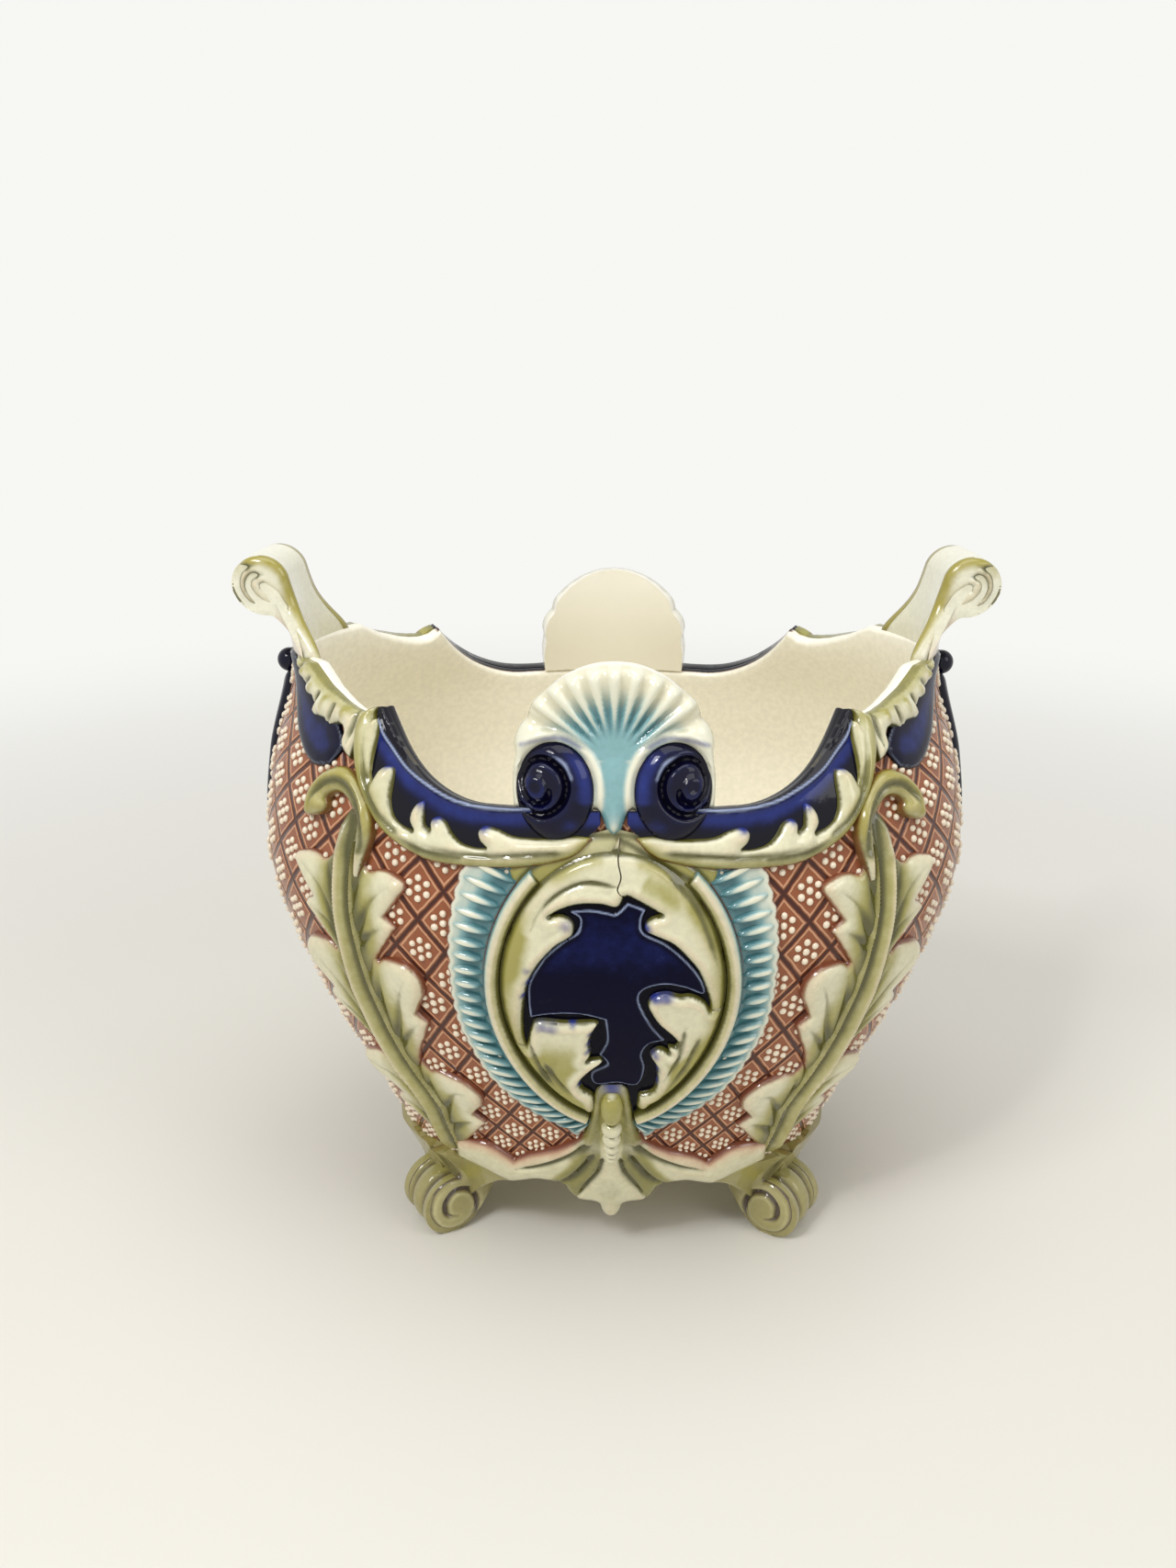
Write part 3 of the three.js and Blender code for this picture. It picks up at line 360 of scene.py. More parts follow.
def sprig(sheet, ring, height, paint=None, step=0.9, seat=-1.2, backed=False):
    """A sprig of relief: the outline filled with a fine net and lifted off the sheet.

    height(p, d) and paint(p, d, h) take drawing points and their distance to the outline.
    A backed sprig has a net on its back too, for pieces that stand clear of the wall.
    """
    q, faces = filled(ring, step)
    count = len(q)
    d = gap_to(q, ring, closed=True)
    d[d < 1e-4] = 0
    h = height(q, d)
    top = sheet(q[:, 0], q[:, 1], h)
    base = sheet(q[:, 0], q[:, 1], seat(q) if callable(seat) else np.full(count, float(seat)))
    directed = {(f[i], f[(i + 1) % 3]) for f in faces.tolist() for i in range(3)}
    border = [(a, b) for a, b in directed if (b, a) not in directed]
    masks = {"pool": hollows(faces, h, count)}
    for name, mask in (paint(q, d, h) if paint else {}).items():
        masks[name] = np.clip(mask, 0, 1)
    if backed:
        kept = np.arange(count)
        skirt = [t for a, b in border for t in ((b, a, a + count), (b, a + count, b + count))]
        back = np.concatenate([skirt, faces[:, ::-1] + count])
    else:
        kept, back = flat_back(q, border, count)
    masks = {name: np.concatenate([mask, mask[kept]]) for name, mask in masks.items()}
    return Shape(np.concatenate([top, base[kept]]), np.concatenate([faces, back]), masks)


def swept(rings, masks=None, closed_ends=True):
    """Skin over rings of equal length, rows x points x 3, anticlockwise seen from its end.

    The masks are rows x points too; the middle points of the closed ends get 0.
    """
    rows, n = rings.shape[:2]
    i, j = np.meshgrid(np.arange(rows - 1), np.arange(n), indexing="ij")
    k = (j + 1) % n
    a, b, c, d = i * n + j, i * n + k, (i + 1) * n + k, (i + 1) * n + j
    faces = [np.stack([a, b, c], -1).reshape(-1, 3), np.stack([a, c, d], -1).reshape(-1, 3)]
    points = [rings.reshape(-1, 3)]
    masks = {name: np.append(mask, [0.0, 0.0]) for name, mask in (masks or {}).items()}
    if closed_ends:
        first, last = rows * n, rows * n + 1
        points.append(np.stack([rings[0].mean(0), rings[-1].mean(0)]))
        end = (rows - 1) * n
        m = np.arange(n)
        faces.append(np.stack([(m + 1) % n, m, np.full(n, first)], -1))
        faces.append(np.stack([end + m, end + (m + 1) % n, np.full(n, last)], -1))
    return Shape(np.concatenate(points), np.concatenate(faces), masks)


def new_object(name, data):
    obj = bpy.data.objects.new(name, data)
    bpy.context.scene.collection.objects.link(obj)
    return obj


def piece(name, shape, material, nodes, crease=55):
    """Makes the finished object, lets it ride on the body and stand for its CAD nodes."""
    mesh = bpy.data.meshes.new(name)
    mesh.from_pydata((shape.points * MM).tolist(), [], shape.faces.tolist())
    for key, mask in shape.masks.items():
        mesh.attributes.new(key, "FLOAT", "POINT").data.foreach_set("value", mask.astype(np.float32))
    mesh.materials.append(material)
    mesh.shade_smooth()
    mesh.set_sharp_from_angle(angle=math.radians(crease))
    return fitted(new_object(name, mesh), nodes)


def fitted(obj, nodes=()):
    """Lets the object ride on the body and hides the CAD nodes it stands for."""
    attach(obj, "root")
    if nodes:
        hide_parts(*nodes)
    return obj


def pair(name, shape, material, names=("front", "back")):
    """One pressing at the front and the same one turned half round."""
    for where, back in zip(names, (False, True)):
        node = f"{name}_{where}"
        piece(f"{node}_glazed", shape.turned(back=back), material, [node])


def four(name, shape, material):
    """A pressing with its mirror image, on both faces."""
    pair(name, shape, material, ("front_right", "back_left"))
    pair(name, shape.turned(mirror=True), material, ("front_left", "back_right"))


# ------------------------------------------------------------------ glazes
def add_node(tree, kind, **settings):
    node = tree.nodes.new(kind)
    for key, value in settings.items():
        setattr(node, key, value)
    return node


def wire(tree, source, target):
    tree.links.new(source, target)


def put(tree, target, value):
    """Links a socket, or sets a plain value."""
    if isinstance(value, bpy.types.NodeSocket):
        wire(tree, value, target)
    else:
        target.default_value = value


def maths(tree, operation, *values, clamp=False):
    """Output of a math node; the values are sockets or numbers."""
    node = add_node(tree, "ShaderNodeMath", operation=operation, use_clamp=clamp)
    for socket, value in zip(node.inputs, values):
        put(tree, socket, value)
    return node.outputs[0]


def between(tree, value, low, high, to_low=0.0, to_high=1.0):
    """Value moved smoothly from low..high to another range."""
    node = add_node(tree, "ShaderNodeMapRange", interpolation_type="SMOOTHSTEP")
    for socket, item in zip(node.inputs, (value, low, high, to_low, to_high)):
        put(tree, socket, item)
    return node.outputs[0]


def blended(tree, factor, under, over, mode="MIX"):
    node = add_node(tree, "ShaderNodeMix", data_type="RGBA", blend_type=mode, clamp_factor=True)
    for socket, value in zip((node.inputs[0], node.inputs[6], node.inputs[7]), (factor, under, over)):
        put(tree, socket, value)
    return node.outputs[2]


def noise(tree, scale, detail=3.0, rough=0.5, vector=None):
    node = add_node(tree, "ShaderNodeTexNoise")
    node.inputs["Scale"].default_value = scale
    node.inputs["Detail"].default_value = detail
    node.inputs["Roughness"].default_value = rough
    wire(tree, vector or add_node(tree, "ShaderNodeTexCoord").outputs["Object"], node.inputs["Vector"])
    return node.outputs[0]


def mask_of(tree, name):
    """Per-point mask of the mesh, read by name."""
    return add_node(tree, "ShaderNodeAttribute", attribute_name=name).outputs["Fac"]


def made_once(library, name):
    """The decorated function makes the data block of that name; later calls find it."""
    def decorate(make):
        @functools.wraps(make)
        def found_or_made():
            return getattr(bpy.data, library).get(name) or make(name)
        return found_or_made
    return decorate


def new_group(name, inputs, outputs):
    """Empty shader node group with named sockets: (name, kind, default) and (name, kind)."""
    group = bpy.data.node_groups.new(name, "ShaderNodeTree")
    for label, kind, default in inputs:
        socket = group.interface.new_socket(label, in_out="INPUT", socket_type=f"NodeSocket{kind}")
        socket.default_value = default
    for label, kind in outputs:
        group.interface.new_socket(label, in_out="OUTPUT", socket_type=f"NodeSocket{kind}")
    return group, add_node(group, "NodeGroupInput").outputs, add_node(group, "NodeGroupOutput").inputs


def placed(tree, group, **values):
    """A group in a material, with its own values; returns its outputs."""
    node = add_node(tree, "ShaderNodeGroup", node_tree=group)
    for label, value in values.items():
        put(tree, node.inputs[label.replace("_", " ")], value)
    return node.outputs


GREY = (0.5, 0.5, 0.5, 1.0)


@made_once("node_groups", "Pooled Glaze")
def pooled_glaze_group(name):
    """Runny glaze: thin and light on the crests, deep in the hollows, mottled all over."""
    group, given, out = new_group(
        name,
        [("Base", "Color", GREY), ("Thin", "Color", GREY), ("Deep", "Color", GREY),
         ("Pooling", "Float", 0.0), ("Strength", "Float", 1.0), ("Mottle", "Float", 0.25),
         ("Gloss", "Float", 0.14)],
        [("Color", "Color"), ("Roughness", "Float"), ("Height", "Float")],
    )
    broad = noise(group, 55.0, 4.0)
    fine = noise(group, 420.0, 2.0)
    drift = maths(group, "MULTIPLY_ADD", broad, 2.0, -1.0)
    drift = maths(group, "MULTIPLY", drift, given["Mottle"])
    level = maths(group, "MULTIPLY_ADD", given["Pooling"], given["Strength"], drift)
    thin = between(group, maths(group, "MULTIPLY", level, -1.0), 0.05, 0.75)
    deep = between(group, level, 0.05, 0.75)
    colour = blended(group, thin, given["Base"], given["Thin"])
    colour = blended(group, deep, colour, given["Deep"])
    speck = between(group, fine, 0.30, 0.70, 0.955, 1.03)
    tint = add_node(group, "ShaderNodeCombineColor")
    for socket in tint.inputs:
        wire(group, speck, socket)
    wire(group, blended(group, 1.0, colour, tint.outputs[0], "MULTIPLY"), out["Color"])
    rough = maths(group, "MULTIPLY_ADD", thin, 0.12, given["Gloss"])
    wire(group, maths(group, "MULTIPLY_ADD", fine, 0.06, rough), out["Roughness"])
    swim = noise(group, 150.0, 2.0)
    wire(group, maths(group, "MULTIPLY_ADD", fine, 0.25, swim), out["Height"])
    return group


@made_once("node_groups", "Brushed Wash")
def brushed_wash_group(name):
    """A second glaze brushed over the first, with a soft uneven edge."""
    group, given, out = new_group(
        name,
        [("Under", "Color", GREY), ("Wash", "Color", GREY), ("Mask", "Float", 0.0),
         ("Ragged", "Float", 0.45), ("Soft", "Float", 0.46)],
        [("Color", "Color")],
    )
    drift = maths(group, "SUBTRACT", noise(group, 160.0, 4.0, 0.6), 0.5)
    value = maths(group, "MULTIPLY_ADD", drift, given["Ragged"], given["Mask"])
    low = maths(group, "SUBTRACT", 0.5, given["Soft"])
    high = maths(group, "ADD", 0.5, given["Soft"])
    cover = between(group, value, low, high)
    wire(group, blended(group, cover, given["Under"], given["Wash"]), out["Color"])
    return group


@made_once("node_groups", "Crazing")
def crazing_group(name):
    """Fine net of cracks in the glaze: a mask for the colour and a height."""
    group, given, out = new_group(
        name, [("Cell Size", "Float", 0.005), ("Amount", "Float", 0.3)],
        [("Mask", "Float"), ("Height", "Float")],
    )
    cells = add_node(group, "ShaderNodeTexVoronoi", feature="DISTANCE_TO_EDGE")
    wire(group, add_node(group, "ShaderNodeTexCoord").outputs["Object"], cells.inputs["Vector"])
    wire(group, maths(group, "DIVIDE", 1.0, given["Cell Size"]), cells.inputs["Scale"])
    line = between(group, cells.outputs["Distance"], 0.0, 0.035, 1.0, 0.0)
    patchy = between(group, noise(group, 25.0, 2.0), 0.4, 0.65)
    mask = maths(group, "MULTIPLY", maths(group, "MULTIPLY", line, patchy), given["Amount"])
    wire(group, mask, out["Mask"])
    wire(group, maths(group, "MULTIPLY", mask, -1.0), out["Height"])
    return group


@made_once("node_groups", "Quilted Lattice")
def quilted_lattice_group(name):
    """Diagonal lattice of a groove between two raised lines, from two cell coordinates."""
    group, given, out = new_group(
        name,
        [("Across", "Float", 0.0), ("Up", "Float", 0.0), ("Pitch", "Float", 16.0),
         ("Spread", "Float", 1.65)],
        [("Ridge", "Float"), ("Groove", "Float"), ("Height", "Float")],
    )
    away = []
    for operation in ("ADD", "SUBTRACT"):
        where = maths(group, operation, given["Across"], given["Up"])
        phase = maths(group, "FRACT", where)
        from_line = maths(group, "ABSOLUTE", maths(group, "SUBTRACT", phase, 0.5))
        away.append(from_line)
    nearest = maths(group, "MINIMUM", *away)
    mm = maths(group, "MULTIPLY", nearest, given["Pitch"])
    wobble = maths(group, "SUBTRACT", noise(group, 260.0, 2.0), 0.5)
    mm = maths(group, "ABSOLUTE", maths(group, "MULTIPLY_ADD", wobble, 0.7, mm))
    groove = between(group, mm, 0.35, 1.15, 1.0, 0.0)
    off = maths(group, "ABSOLUTE", maths(group, "SUBTRACT", mm, given["Spread"]))
    ridge = between(group, off, 0.1, 0.6, 1.0, 0.0)
    wire(group, ridge, out["Ridge"])
    wire(group, groove, out["Groove"])
    wire(group, maths(group, "MULTIPLY_ADD", groove, -1.0, maths(group, "MULTIPLY", ridge, 0.5)),
         out["Height"])
    return group


def linear(colour):
    """The colours are kept as they look on the pot; shaders want them linear."""
    return tuple(((c + 0.055) / 1.055) ** 2.4 if c > 0.04045 else c / 12.92 for c in colour) + (1.0,)


def colours():
    return bpy.context.scene.jardiniere_colours


def hue(name):
    return linear(getattr(colours(), name))


def new_material(name):
    """Material with its node tree and its shader."""
    material = bpy.data.materials.new(name)
    material.use_nodes = True
    return material, material.node_tree, material.node_tree.nodes["Principled BSDF"]


def glaze(name, base, thin, deep, washes=(), strength=1.0, mottle=0.25, gloss=0.14, crazed=0.0,
          ripple=0.2, shine=0.5, coat=0.35):
    """Glossy majolica glaze: (mask attribute, colour) washes are brushed over it in order."""
    if name in bpy.data.materials:
        return bpy.data.materials[name]
    material, tree, shader = new_material(name)
    flow = placed(tree, pooled_glaze_group(), Base=hue(base), Thin=hue(thin), Deep=hue(deep),
                  Pooling=mask_of(tree, "pool"), Strength=strength, Mottle=mottle, Gloss=gloss)
    colour = flow["Color"]
    for mask, wash in washes:
        colour = placed(tree, brushed_wash_group(), Under=colour, Wash=hue(wash),
                        Mask=mask_of(tree, mask))["Color"]
    height = flow["Height"]
    if crazed:
        cracks = placed(tree, crazing_group(), Amount=crazed)
        colour = blended(tree, cracks["Mask"], colour, hue("crack"))
        height = maths(tree, "ADD", height, cracks["Height"])
    finish(tree, shader, colour, flow["Roughness"], height, ripple, shine, coat)
    return material


def finish(tree, shader, colour, rough, height, ripple, shine, coat):
    """Wires a glaze into its shader, with the height as a fine bump."""
    wire(tree, colour, shader.inputs["Base Color"])
    wire(tree, rough, shader.inputs["Roughness"])
    shader.inputs["IOR"].default_value = 1.5
    shader.inputs["Specular IOR Level"].default_value = shine
    shader.inputs["Coat Weight"].default_value = coat
    shader.inputs["Coat Roughness"].default_value = 0.03
    bump = add_node(tree, "ShaderNodeBump")
    bump.inputs["Strength"].default_value = ripple
    bump.inputs["Distance"].default_value = 0.0004
    wire(tree, height, bump.inputs["Height"])
    wire(tree, bump.outputs["Normal"], shader.inputs["Normal"])


LEAF_WASHES = [("teal", "teal"), ("olive", "olive"), ("gold", "gold"), ("blush", "rose"),
               ("moss", "moss"), ("blue", "cobalt"), ("rust", "rust")]
# The light mask brushes on painted highlights in pale blue; the other washes are glaze colours.
NAVY_WASHES = [("blue", "cobalt"), ("light", "painted_highlight_blue"), ("ink", "ink")]


def pale_glaze():
    return glaze("Pale green glaze", "pale", "blush", "moss", LEAF_WASHES, strength=0.9,
                 mottle=0.5, crazed=0.12)


def navy_glaze():
    return glaze("Navy glaze", "navy", "cobalt", "ink", NAVY_WASHES, strength=0.3, mottle=0.2,
                 gloss=0.05, shine=0.26, coat=0.0)


def panel_glaze():
    return glaze("Navy panel glaze", "navy", "cobalt", "ink", NAVY_WASHES, strength=0.3, mottle=0.15,
                 gloss=0.06, shine=0.08, coat=0.0)


def teal_glaze():
    return glaze("Teal glaze", "teal", "cream", "lagoon",
                 [("cream", "cream"), ("shade", "shade"), ("lagoon", "lagoon"), ("blue", "cobalt"),
                  ("rust", "rust"), ("within", "interior")],
                 strength=1.0, mottle=0.3)


def cream_glaze():
    return glaze("Cream glaze", "cream", "blush", "moss",
                 [("olive", "gold"), ("moss", "moss"), ("blush", "rose")], strength=0.9,
                 mottle=0.25, gloss=0.16, crazed=0.15)


def foot_glaze():
    return glaze("Foot glaze", "foot", "foot_light", "umber",
                 [("olive", "olive"), ("umber", "umber"), ("blue", "cobalt")], strength=0.9,
                 mottle=0.5)


@made_once("materials", "Brown lattice glaze")
def wall_glaze(name):
    """Brown lattice outside, cream inside, a dark lip over the rim bands."""
    material, tree, shader = new_material(name)
    lattice = placed(tree, quilted_lattice_group(), Across=mask_of(tree, "cell_across"),
                     Up=mask_of(tree, "cell_up"))
    outside = maths(tree, "SUBTRACT", 1.0, mask_of(tree, "within"))
    level = maths(tree, "MULTIPLY_ADD", lattice["Ridge"], -0.9, lattice["Groove"])
    flow = placed(tree, pooled_glaze_group(), Base=hue("clay"), Thin=hue("clay_light"),
                  Deep=hue("groove"), Pooling=level, Strength=outside, Mottle=0.35, Gloss=0.16)
    inner = placed(tree, pooled_glaze_group(), Base=hue("interior"), Thin=hue("cream"),
                   Deep=hue("shade"), Pooling=mask_of(tree, "pool"), Strength=0.6, Mottle=0.15,
                   Gloss=0.14)
    colour = blended(tree, mask_of(tree, "within"), flow["Color"], inner["Color"])
    colour = placed(tree, brushed_wash_group(), Under=colour, Wash=hue("ink"),
                    Mask=mask_of(tree, "lip"), Ragged=0.05)["Color"]
    cut = maths(tree, "MULTIPLY", lattice["Height"],
                maths(tree, "SUBTRACT", outside, mask_of(tree, "lip"), clamp=True))
    height = maths(tree, "MULTIPLY_ADD", flow["Height"], 0.12, cut)
    finish(tree, shader, colour, flow["Roughness"], height, 0.9, 0.35, 0.0)
    return material


# ------------------------------------------------------------------ body wall and floor
LATTICE_AZ = 35.06  # azimuth of one column of lattice cells
CELL_AZ = 9.3       # width of a cell in degrees
# Heights of the middles of the cells in one column, with their row.
CELL_ROWS = [(212, 1), (187.5, 0), (163, -1), (137.5, -2), (112.5, -3), (90, -4), (70, -5), (52, -6)]
CELL_FIT = np.polyfit(*zip(*CELL_ROWS), 4)
LIP_DROP = 2.2      # the rounded lip starts this far below the rim
LIP_TURN = 1.8      # radians round the lip from the outside to where the cream glaze starts
CREST_AZ = 18.3     # the crest's foot covers the lip as far as this
FLOOR_THICK = 8.0
OVAL_AZ = 27.2      # half width of the medallion in degrees, and its middle and half height in mm
OVAL_MID_Z = 150
OVAL_HALF_Z = 66
RIM_MARGIN = 6      # no floret is nearer to the rim than this


def cell_across(azimuth):
    """Column of the lattice, mirrored about the front and the ends."""
    a = np.abs((np.asarray(azimuth, float) + 180) % 360 - 180)
    return (np.where(a > 90, 180 - a, a) - LATTICE_AZ) / CELL_AZ


def cell_up(z):
    """Row of the lattice at a height."""
    return np.polyval(CELL_FIT, z)


def body_rows(azimuth):
    """The body's profile at every azimuth: rows of points, with their inside and lip masks."""
    n = len(azimuth)
    top = rim_z(azimuth)
    bend_z = top - LIP_DROP
    folded = np.abs((azimuth + 90) % 180 - 90)
    dark = (folded > CREST_AZ) & (folded < PEAK_AZ + 0.4)
    rows, within, lip = [], [], []

    def add_row(points, inner=0.0, edge=0.0):
        rows.append(points)
        within.append(np.where(dark | (edge == 0), inner, 1.0))
        lip.append(edge * dark)

    def add_flat(row, share, z):
        ring = rows[row] * (share, share, 1)
        ring[:, 2] = z
        add_row(ring, 1.0)

    low = np.full(n, BODY_FOOT_Z)
    add_row(on_wall(azimuth, low, np.full(n, -3.0)))
    for t in np.linspace(0, 1, 100):
        add_row(on_wall(azimuth, low + (bend_z - low) * t, np.zeros(n)))
    for a in np.linspace(0, math.pi, 8)[1:-1]:
        depth = WALL / 2 * (1 - math.cos(a))
        z = top - LIP_DROP * (1 - math.sin(a))
        add_row(on_wall(azimuth, z, np.full(n, -depth)), float(a > LIP_TURN), float(a < LIP_TURN))
    for t in np.linspace(0, 1, 40):
        add_row(on_wall(azimuth, bend_z + (FLOOR_TOP_Z - bend_z) * t, np.full(n, -WALL)), 1.0)
    wall_end = len(rows) - 1
    for share in (0.9, 0.6, 0.3):
        add_flat(wall_end, share, FLOOR_TOP_Z)
    for share in (0.3, 0.96):
        add_flat(0, share, FLOOR_TOP_Z - FLOOR_THICK)
    return np.array(rows), np.concatenate(within), np.concatenate(lip)


def body_shape():
    """Outer skin, rounded lip, inner skin and floor, as one profile carried round the oval."""
    peaks = [PEAK_AZ, 180 - PEAK_AZ, 180 + PEAK_AZ, 360 - PEAK_AZ]
    azimuth = np.unique(np.concatenate([np.arange(0, 360, 1.0), peaks]))
    rows, within, lip = body_rows(azimuth)
    m, n = rows.shape[:2]
    skin = swept(rows, closed_ends=False)
    above, below = m - 3, m - 2  # innermost rings of the floor, upper and under side
    row_of = skin.faces // n
    bridge = np.all((row_of >= above) & (row_of <= below), axis=1)
    j = np.arange(n)
    k = (j + 1) % n
    hub = m * n
    faces = np.concatenate([
        skin.faces[~bridge],
        np.stack([(m - 1) * n + j, (m - 1) * n + k, k], -1),
        np.stack([(m - 1) * n + j, k, j], -1),
        np.stack([above * n + j, above * n + k, np.full(n, hub)], -1),
        np.stack([below * n + k, below * n + j, np.full(n, hub + 1)], -1),
    ])
    hubs = [[0, 0, FLOOR_TOP_Z], [0, 0, FLOOR_TOP_Z - FLOOR_THICK]]
    z = rows[..., 2].ravel()
    masks = {
        "cell_across": np.tile(cell_across(azimuth), m),
        "cell_up": cell_up(np.clip(z, 40, 262)),
        "within": within,
        "lip": lip,
        "pool": smooth((FLOOR_TOP_Z + 14 - z) / 14) * within,
    }
    masks = {name: np.append(mask, [mask[-1]] * 2) for name, mask in masks.items()}
    return Shape(np.concatenate([skin.points, hubs]), faces, masks)


def cell_centres():
    """Azimuth and height of the lattice cells of one quarter that show between the reliefs."""
    heights = np.linspace(BODY_FOOT_Z + 2, 256, 1000)
    ups = cell_up(heights)
    centres = []
    for column in range(-7, 13):
        azimuth = LATTICE_AZ + column * CELL_AZ / 2
        for row in np.arange(math.floor(ups[0]), ups[-1]) + (column % 2) / 2:
            z = float(np.interp(row, ups, heights))
            hidden = (azimuth / OVAL_AZ) ** 2 + ((z - OVAL_MID_Z) / OVAL_HALF_Z) ** 2 < 1
            below_rim = z < rim_z(azimuth) - RIM_MARGIN
            if ups[0] < row and 0 < azimuth < 90.5 and below_rim and not hidden:
                centres.append((azimuth, z))
    return centres


# ------------------------------------------------------------------ stamped repeats
def new_stamp_tree(name, sizes):
    """Geometry node group with a point mesh, named sizes and a glaze as its inputs."""
    group = bpy.data.node_groups.new(name, "GeometryNodeTree")
    group.interface.new_socket("Points", in_out="INPUT", socket_type="NodeSocketGeometry")
    for label, kind, default in sizes:
        socket = group.interface.new_socket(label, in_out="INPUT", socket_type=f"NodeSocket{kind}")
        socket.default_value = default
    group.interface.new_socket("Glaze", in_out="INPUT", socket_type="NodeSocketMaterial")
    group.interface.new_socket("Geometry", in_out="OUTPUT", socket_type="NodeSocketGeometry")
    given = add_node(group, "NodeGroupInput").outputs
    out = add_node(group, "NodeGroupOutput").inputs
    return group, given, out


def stored_vector(tree, name):
    """Vector that the point mesh carries, read by name."""
    node = add_node(tree, "GeometryNodeInputNamedAttribute", data_type="FLOAT_VECTOR")
    node.inputs["Name"].default_value = name
    return node.outputs["Attribute"]


def standing_on_wall(tree):
    """Rotation that stands a stamp on the wall, its X along the stored direction."""
    node = add_node(tree, "FunctionNodeAxesToRotation", primary_axis="Z", secondary_axis="X")
    wire(tree, stored_vector(tree, "off_wall"), node.inputs["Primary Axis"])
    wire(tree, stored_vector(tree, "direction"), node.inputs["Secondary Axis"])
    return node.outputs["Rotation"]


def stamped_on(tree, points, instance, scale, rotation=None):
    node = add_node(tree, "GeometryNodeInstanceOnPoints")
    wire(tree, points, node.inputs["Points"])
    wire(tree, instance, node.inputs["Instance"])
    if rotation is not None:
        wire(tree, rotation, node.inputs["Rotation"])
    wire(tree, scale, node.inputs["Scale"])
    return node.outputs["Instances"]


def dot_mesh(tree, segments, rings, across, rise):
    """Low dome, half of it pressed into the clay."""
    ball = add_node(tree, "GeometryNodeMeshUVSphere")
    ball.inputs["Segments"].default_value = segments
    ball.inputs["Rings"].default_value = rings
    ball.inputs["Radius"].default_value = 0.5
    size = add_node(tree, "ShaderNodeCombineXYZ")
    for socket, value in zip(size.inputs, (across, across, rise)):
        put(tree, socket, value)
    shaped = add_node(tree, "GeometryNodeTransform")
    wire(tree, ball.outputs["Mesh"], shaped.inputs["Geometry"])
    wire(tree, size.outputs[0], shaped.inputs["Scale"])
    soft = add_node(tree, "GeometryNodeSetShadeSmooth")
    wire(tree, shaped.outputs[0], soft.inputs["Geometry"])
    return soft.outputs[0]


def finish_stamp(tree, instances, glaze_socket, out):
    """Makes the stamps real, glazes them and hands them out."""
    real = add_node(tree, "GeometryNodeRealizeInstances")
    wire(tree, instances, real.inputs["Geometry"])
    coat = add_node(tree, "GeometryNodeSetMaterial")
    wire(tree, real.outputs[0], coat.inputs["Geometry"])
    wire(tree, glaze_socket, coat.inputs["Material"])
    wire(tree, coat.outputs[0], out["Geometry"])


def uneven(tree, low, high, seed):
    """Small random change of size from stamp to stamp."""
    node = add_node(tree, "FunctionNodeRandomValue", data_type="FLOAT_VECTOR")
    node.inputs[0].default_value = (low,) * 3
    node.inputs[1].default_value = (high,) * 3
    node.inputs["Seed"].default_value = seed
    return node.outputs[0]


def scaled(tree, one, other):
    node = add_node(tree, "ShaderNodeVectorMath", operation="MULTIPLY")
    wire(tree, one, node.inputs[0])
    wire(tree, other, node.inputs[1])
    return node.outputs[0]


def floret_tree():
    """A dot with a ring of dots round it, stamped on every point."""
    group, given, out = new_stamp_tree("Florets", [
        ("Petals", "Int", 6), ("Dot Size", "Float", 0.003), ("Ring Radius", "Float", 0.004),
        ("Rise", "Float", 0.002)])
    dot = dot_mesh(group, 8, 5, given["Dot Size"], given["Rise"])
    circle = add_node(group, "GeometryNodeMeshCircle")
    wire(group, given["Petals"], circle.inputs["Vertices"])
    wire(group, given["Ring Radius"], circle.inputs["Radius"])
    ring = stamped_on(group, circle.outputs["Mesh"], dot, uneven(group, 0.86, 1.06, 3))
    whole = add_node(group, "GeometryNodeJoinGeometry")
    wire(group, ring, whole.inputs[0])
    wire(group, dot, whole.inputs[0])
    joined_up = add_node(group, "GeometryNodeGeometryToInstance")
    wire(group, whole.outputs[0], joined_up.inputs[0])
    size = scaled(group, stored_vector(group, "stamp_size"), uneven(group, 0.94, 1.05, 7))
    stamps = stamped_on(group, given["Points"], joined_up.outputs[0], size, standing_on_wall(group))
    finish_stamp(group, stamps, given["Glaze"], out)
    return group


def gadroon_tree():
    """A long low rib stamped on every point of the frill, as long and wide as the point says."""
    group, given, out = new_stamp_tree("Gadroons", [("Fullness", "Float", 1.0)])
    rib = dot_mesh(group, 10, 7, given["Fullness"], given["Fullness"])
    size = scaled(group, stored_vector(group, "stamp_size"), uneven(group, 0.95, 1.05, 11))
    stamps = stamped_on(group, given["Points"], rib, size, standing_on_wall(group))
    finish_stamp(group, stamps, given["Glaze"], out)
    return group


def stamped(name, places, tree, material, values):
    """Plain mesh of a stamp on every place; a place is (point mm, off_wall, direction, size)."""
    points, normals, directions, sizes = (np.array(column, float) for column in zip(*places))
    carrier = bpy.data.meshes.new(name)
    carrier.from_pydata((points * MM).tolist(), [], [])
    for key, column in (("off_wall", normals), ("direction", directions), ("stamp_size", sizes)):
        attribute = carrier.attributes.new(key, "FLOAT_VECTOR", "POINT")
        attribute.data.foreach_set("vector", column.astype(np.float32).ravel())
    obj = new_object(name, carrier)
    modifier = obj.modifiers.new("Stamps", "NODES")
    modifier.node_group = tree
    sockets = {s.name: s.identifier for s in tree.interface.items_tree if s.in_out == "INPUT"}
    for label, value in {**values, "Glaze": material}.items():
        modifier[sockets[label]] = value
    result = bpy.data.meshes.new_from_object(
        obj.evaluated_get(bpy.context.evaluated_depsgraph_get()))
    obj.modifiers.clear()
    obj.data = result
    bpy.data.meshes.remove(carrier)
    if not len(result.polygons):
        raise RuntimeError(f"{name} came out empty")
    return obj


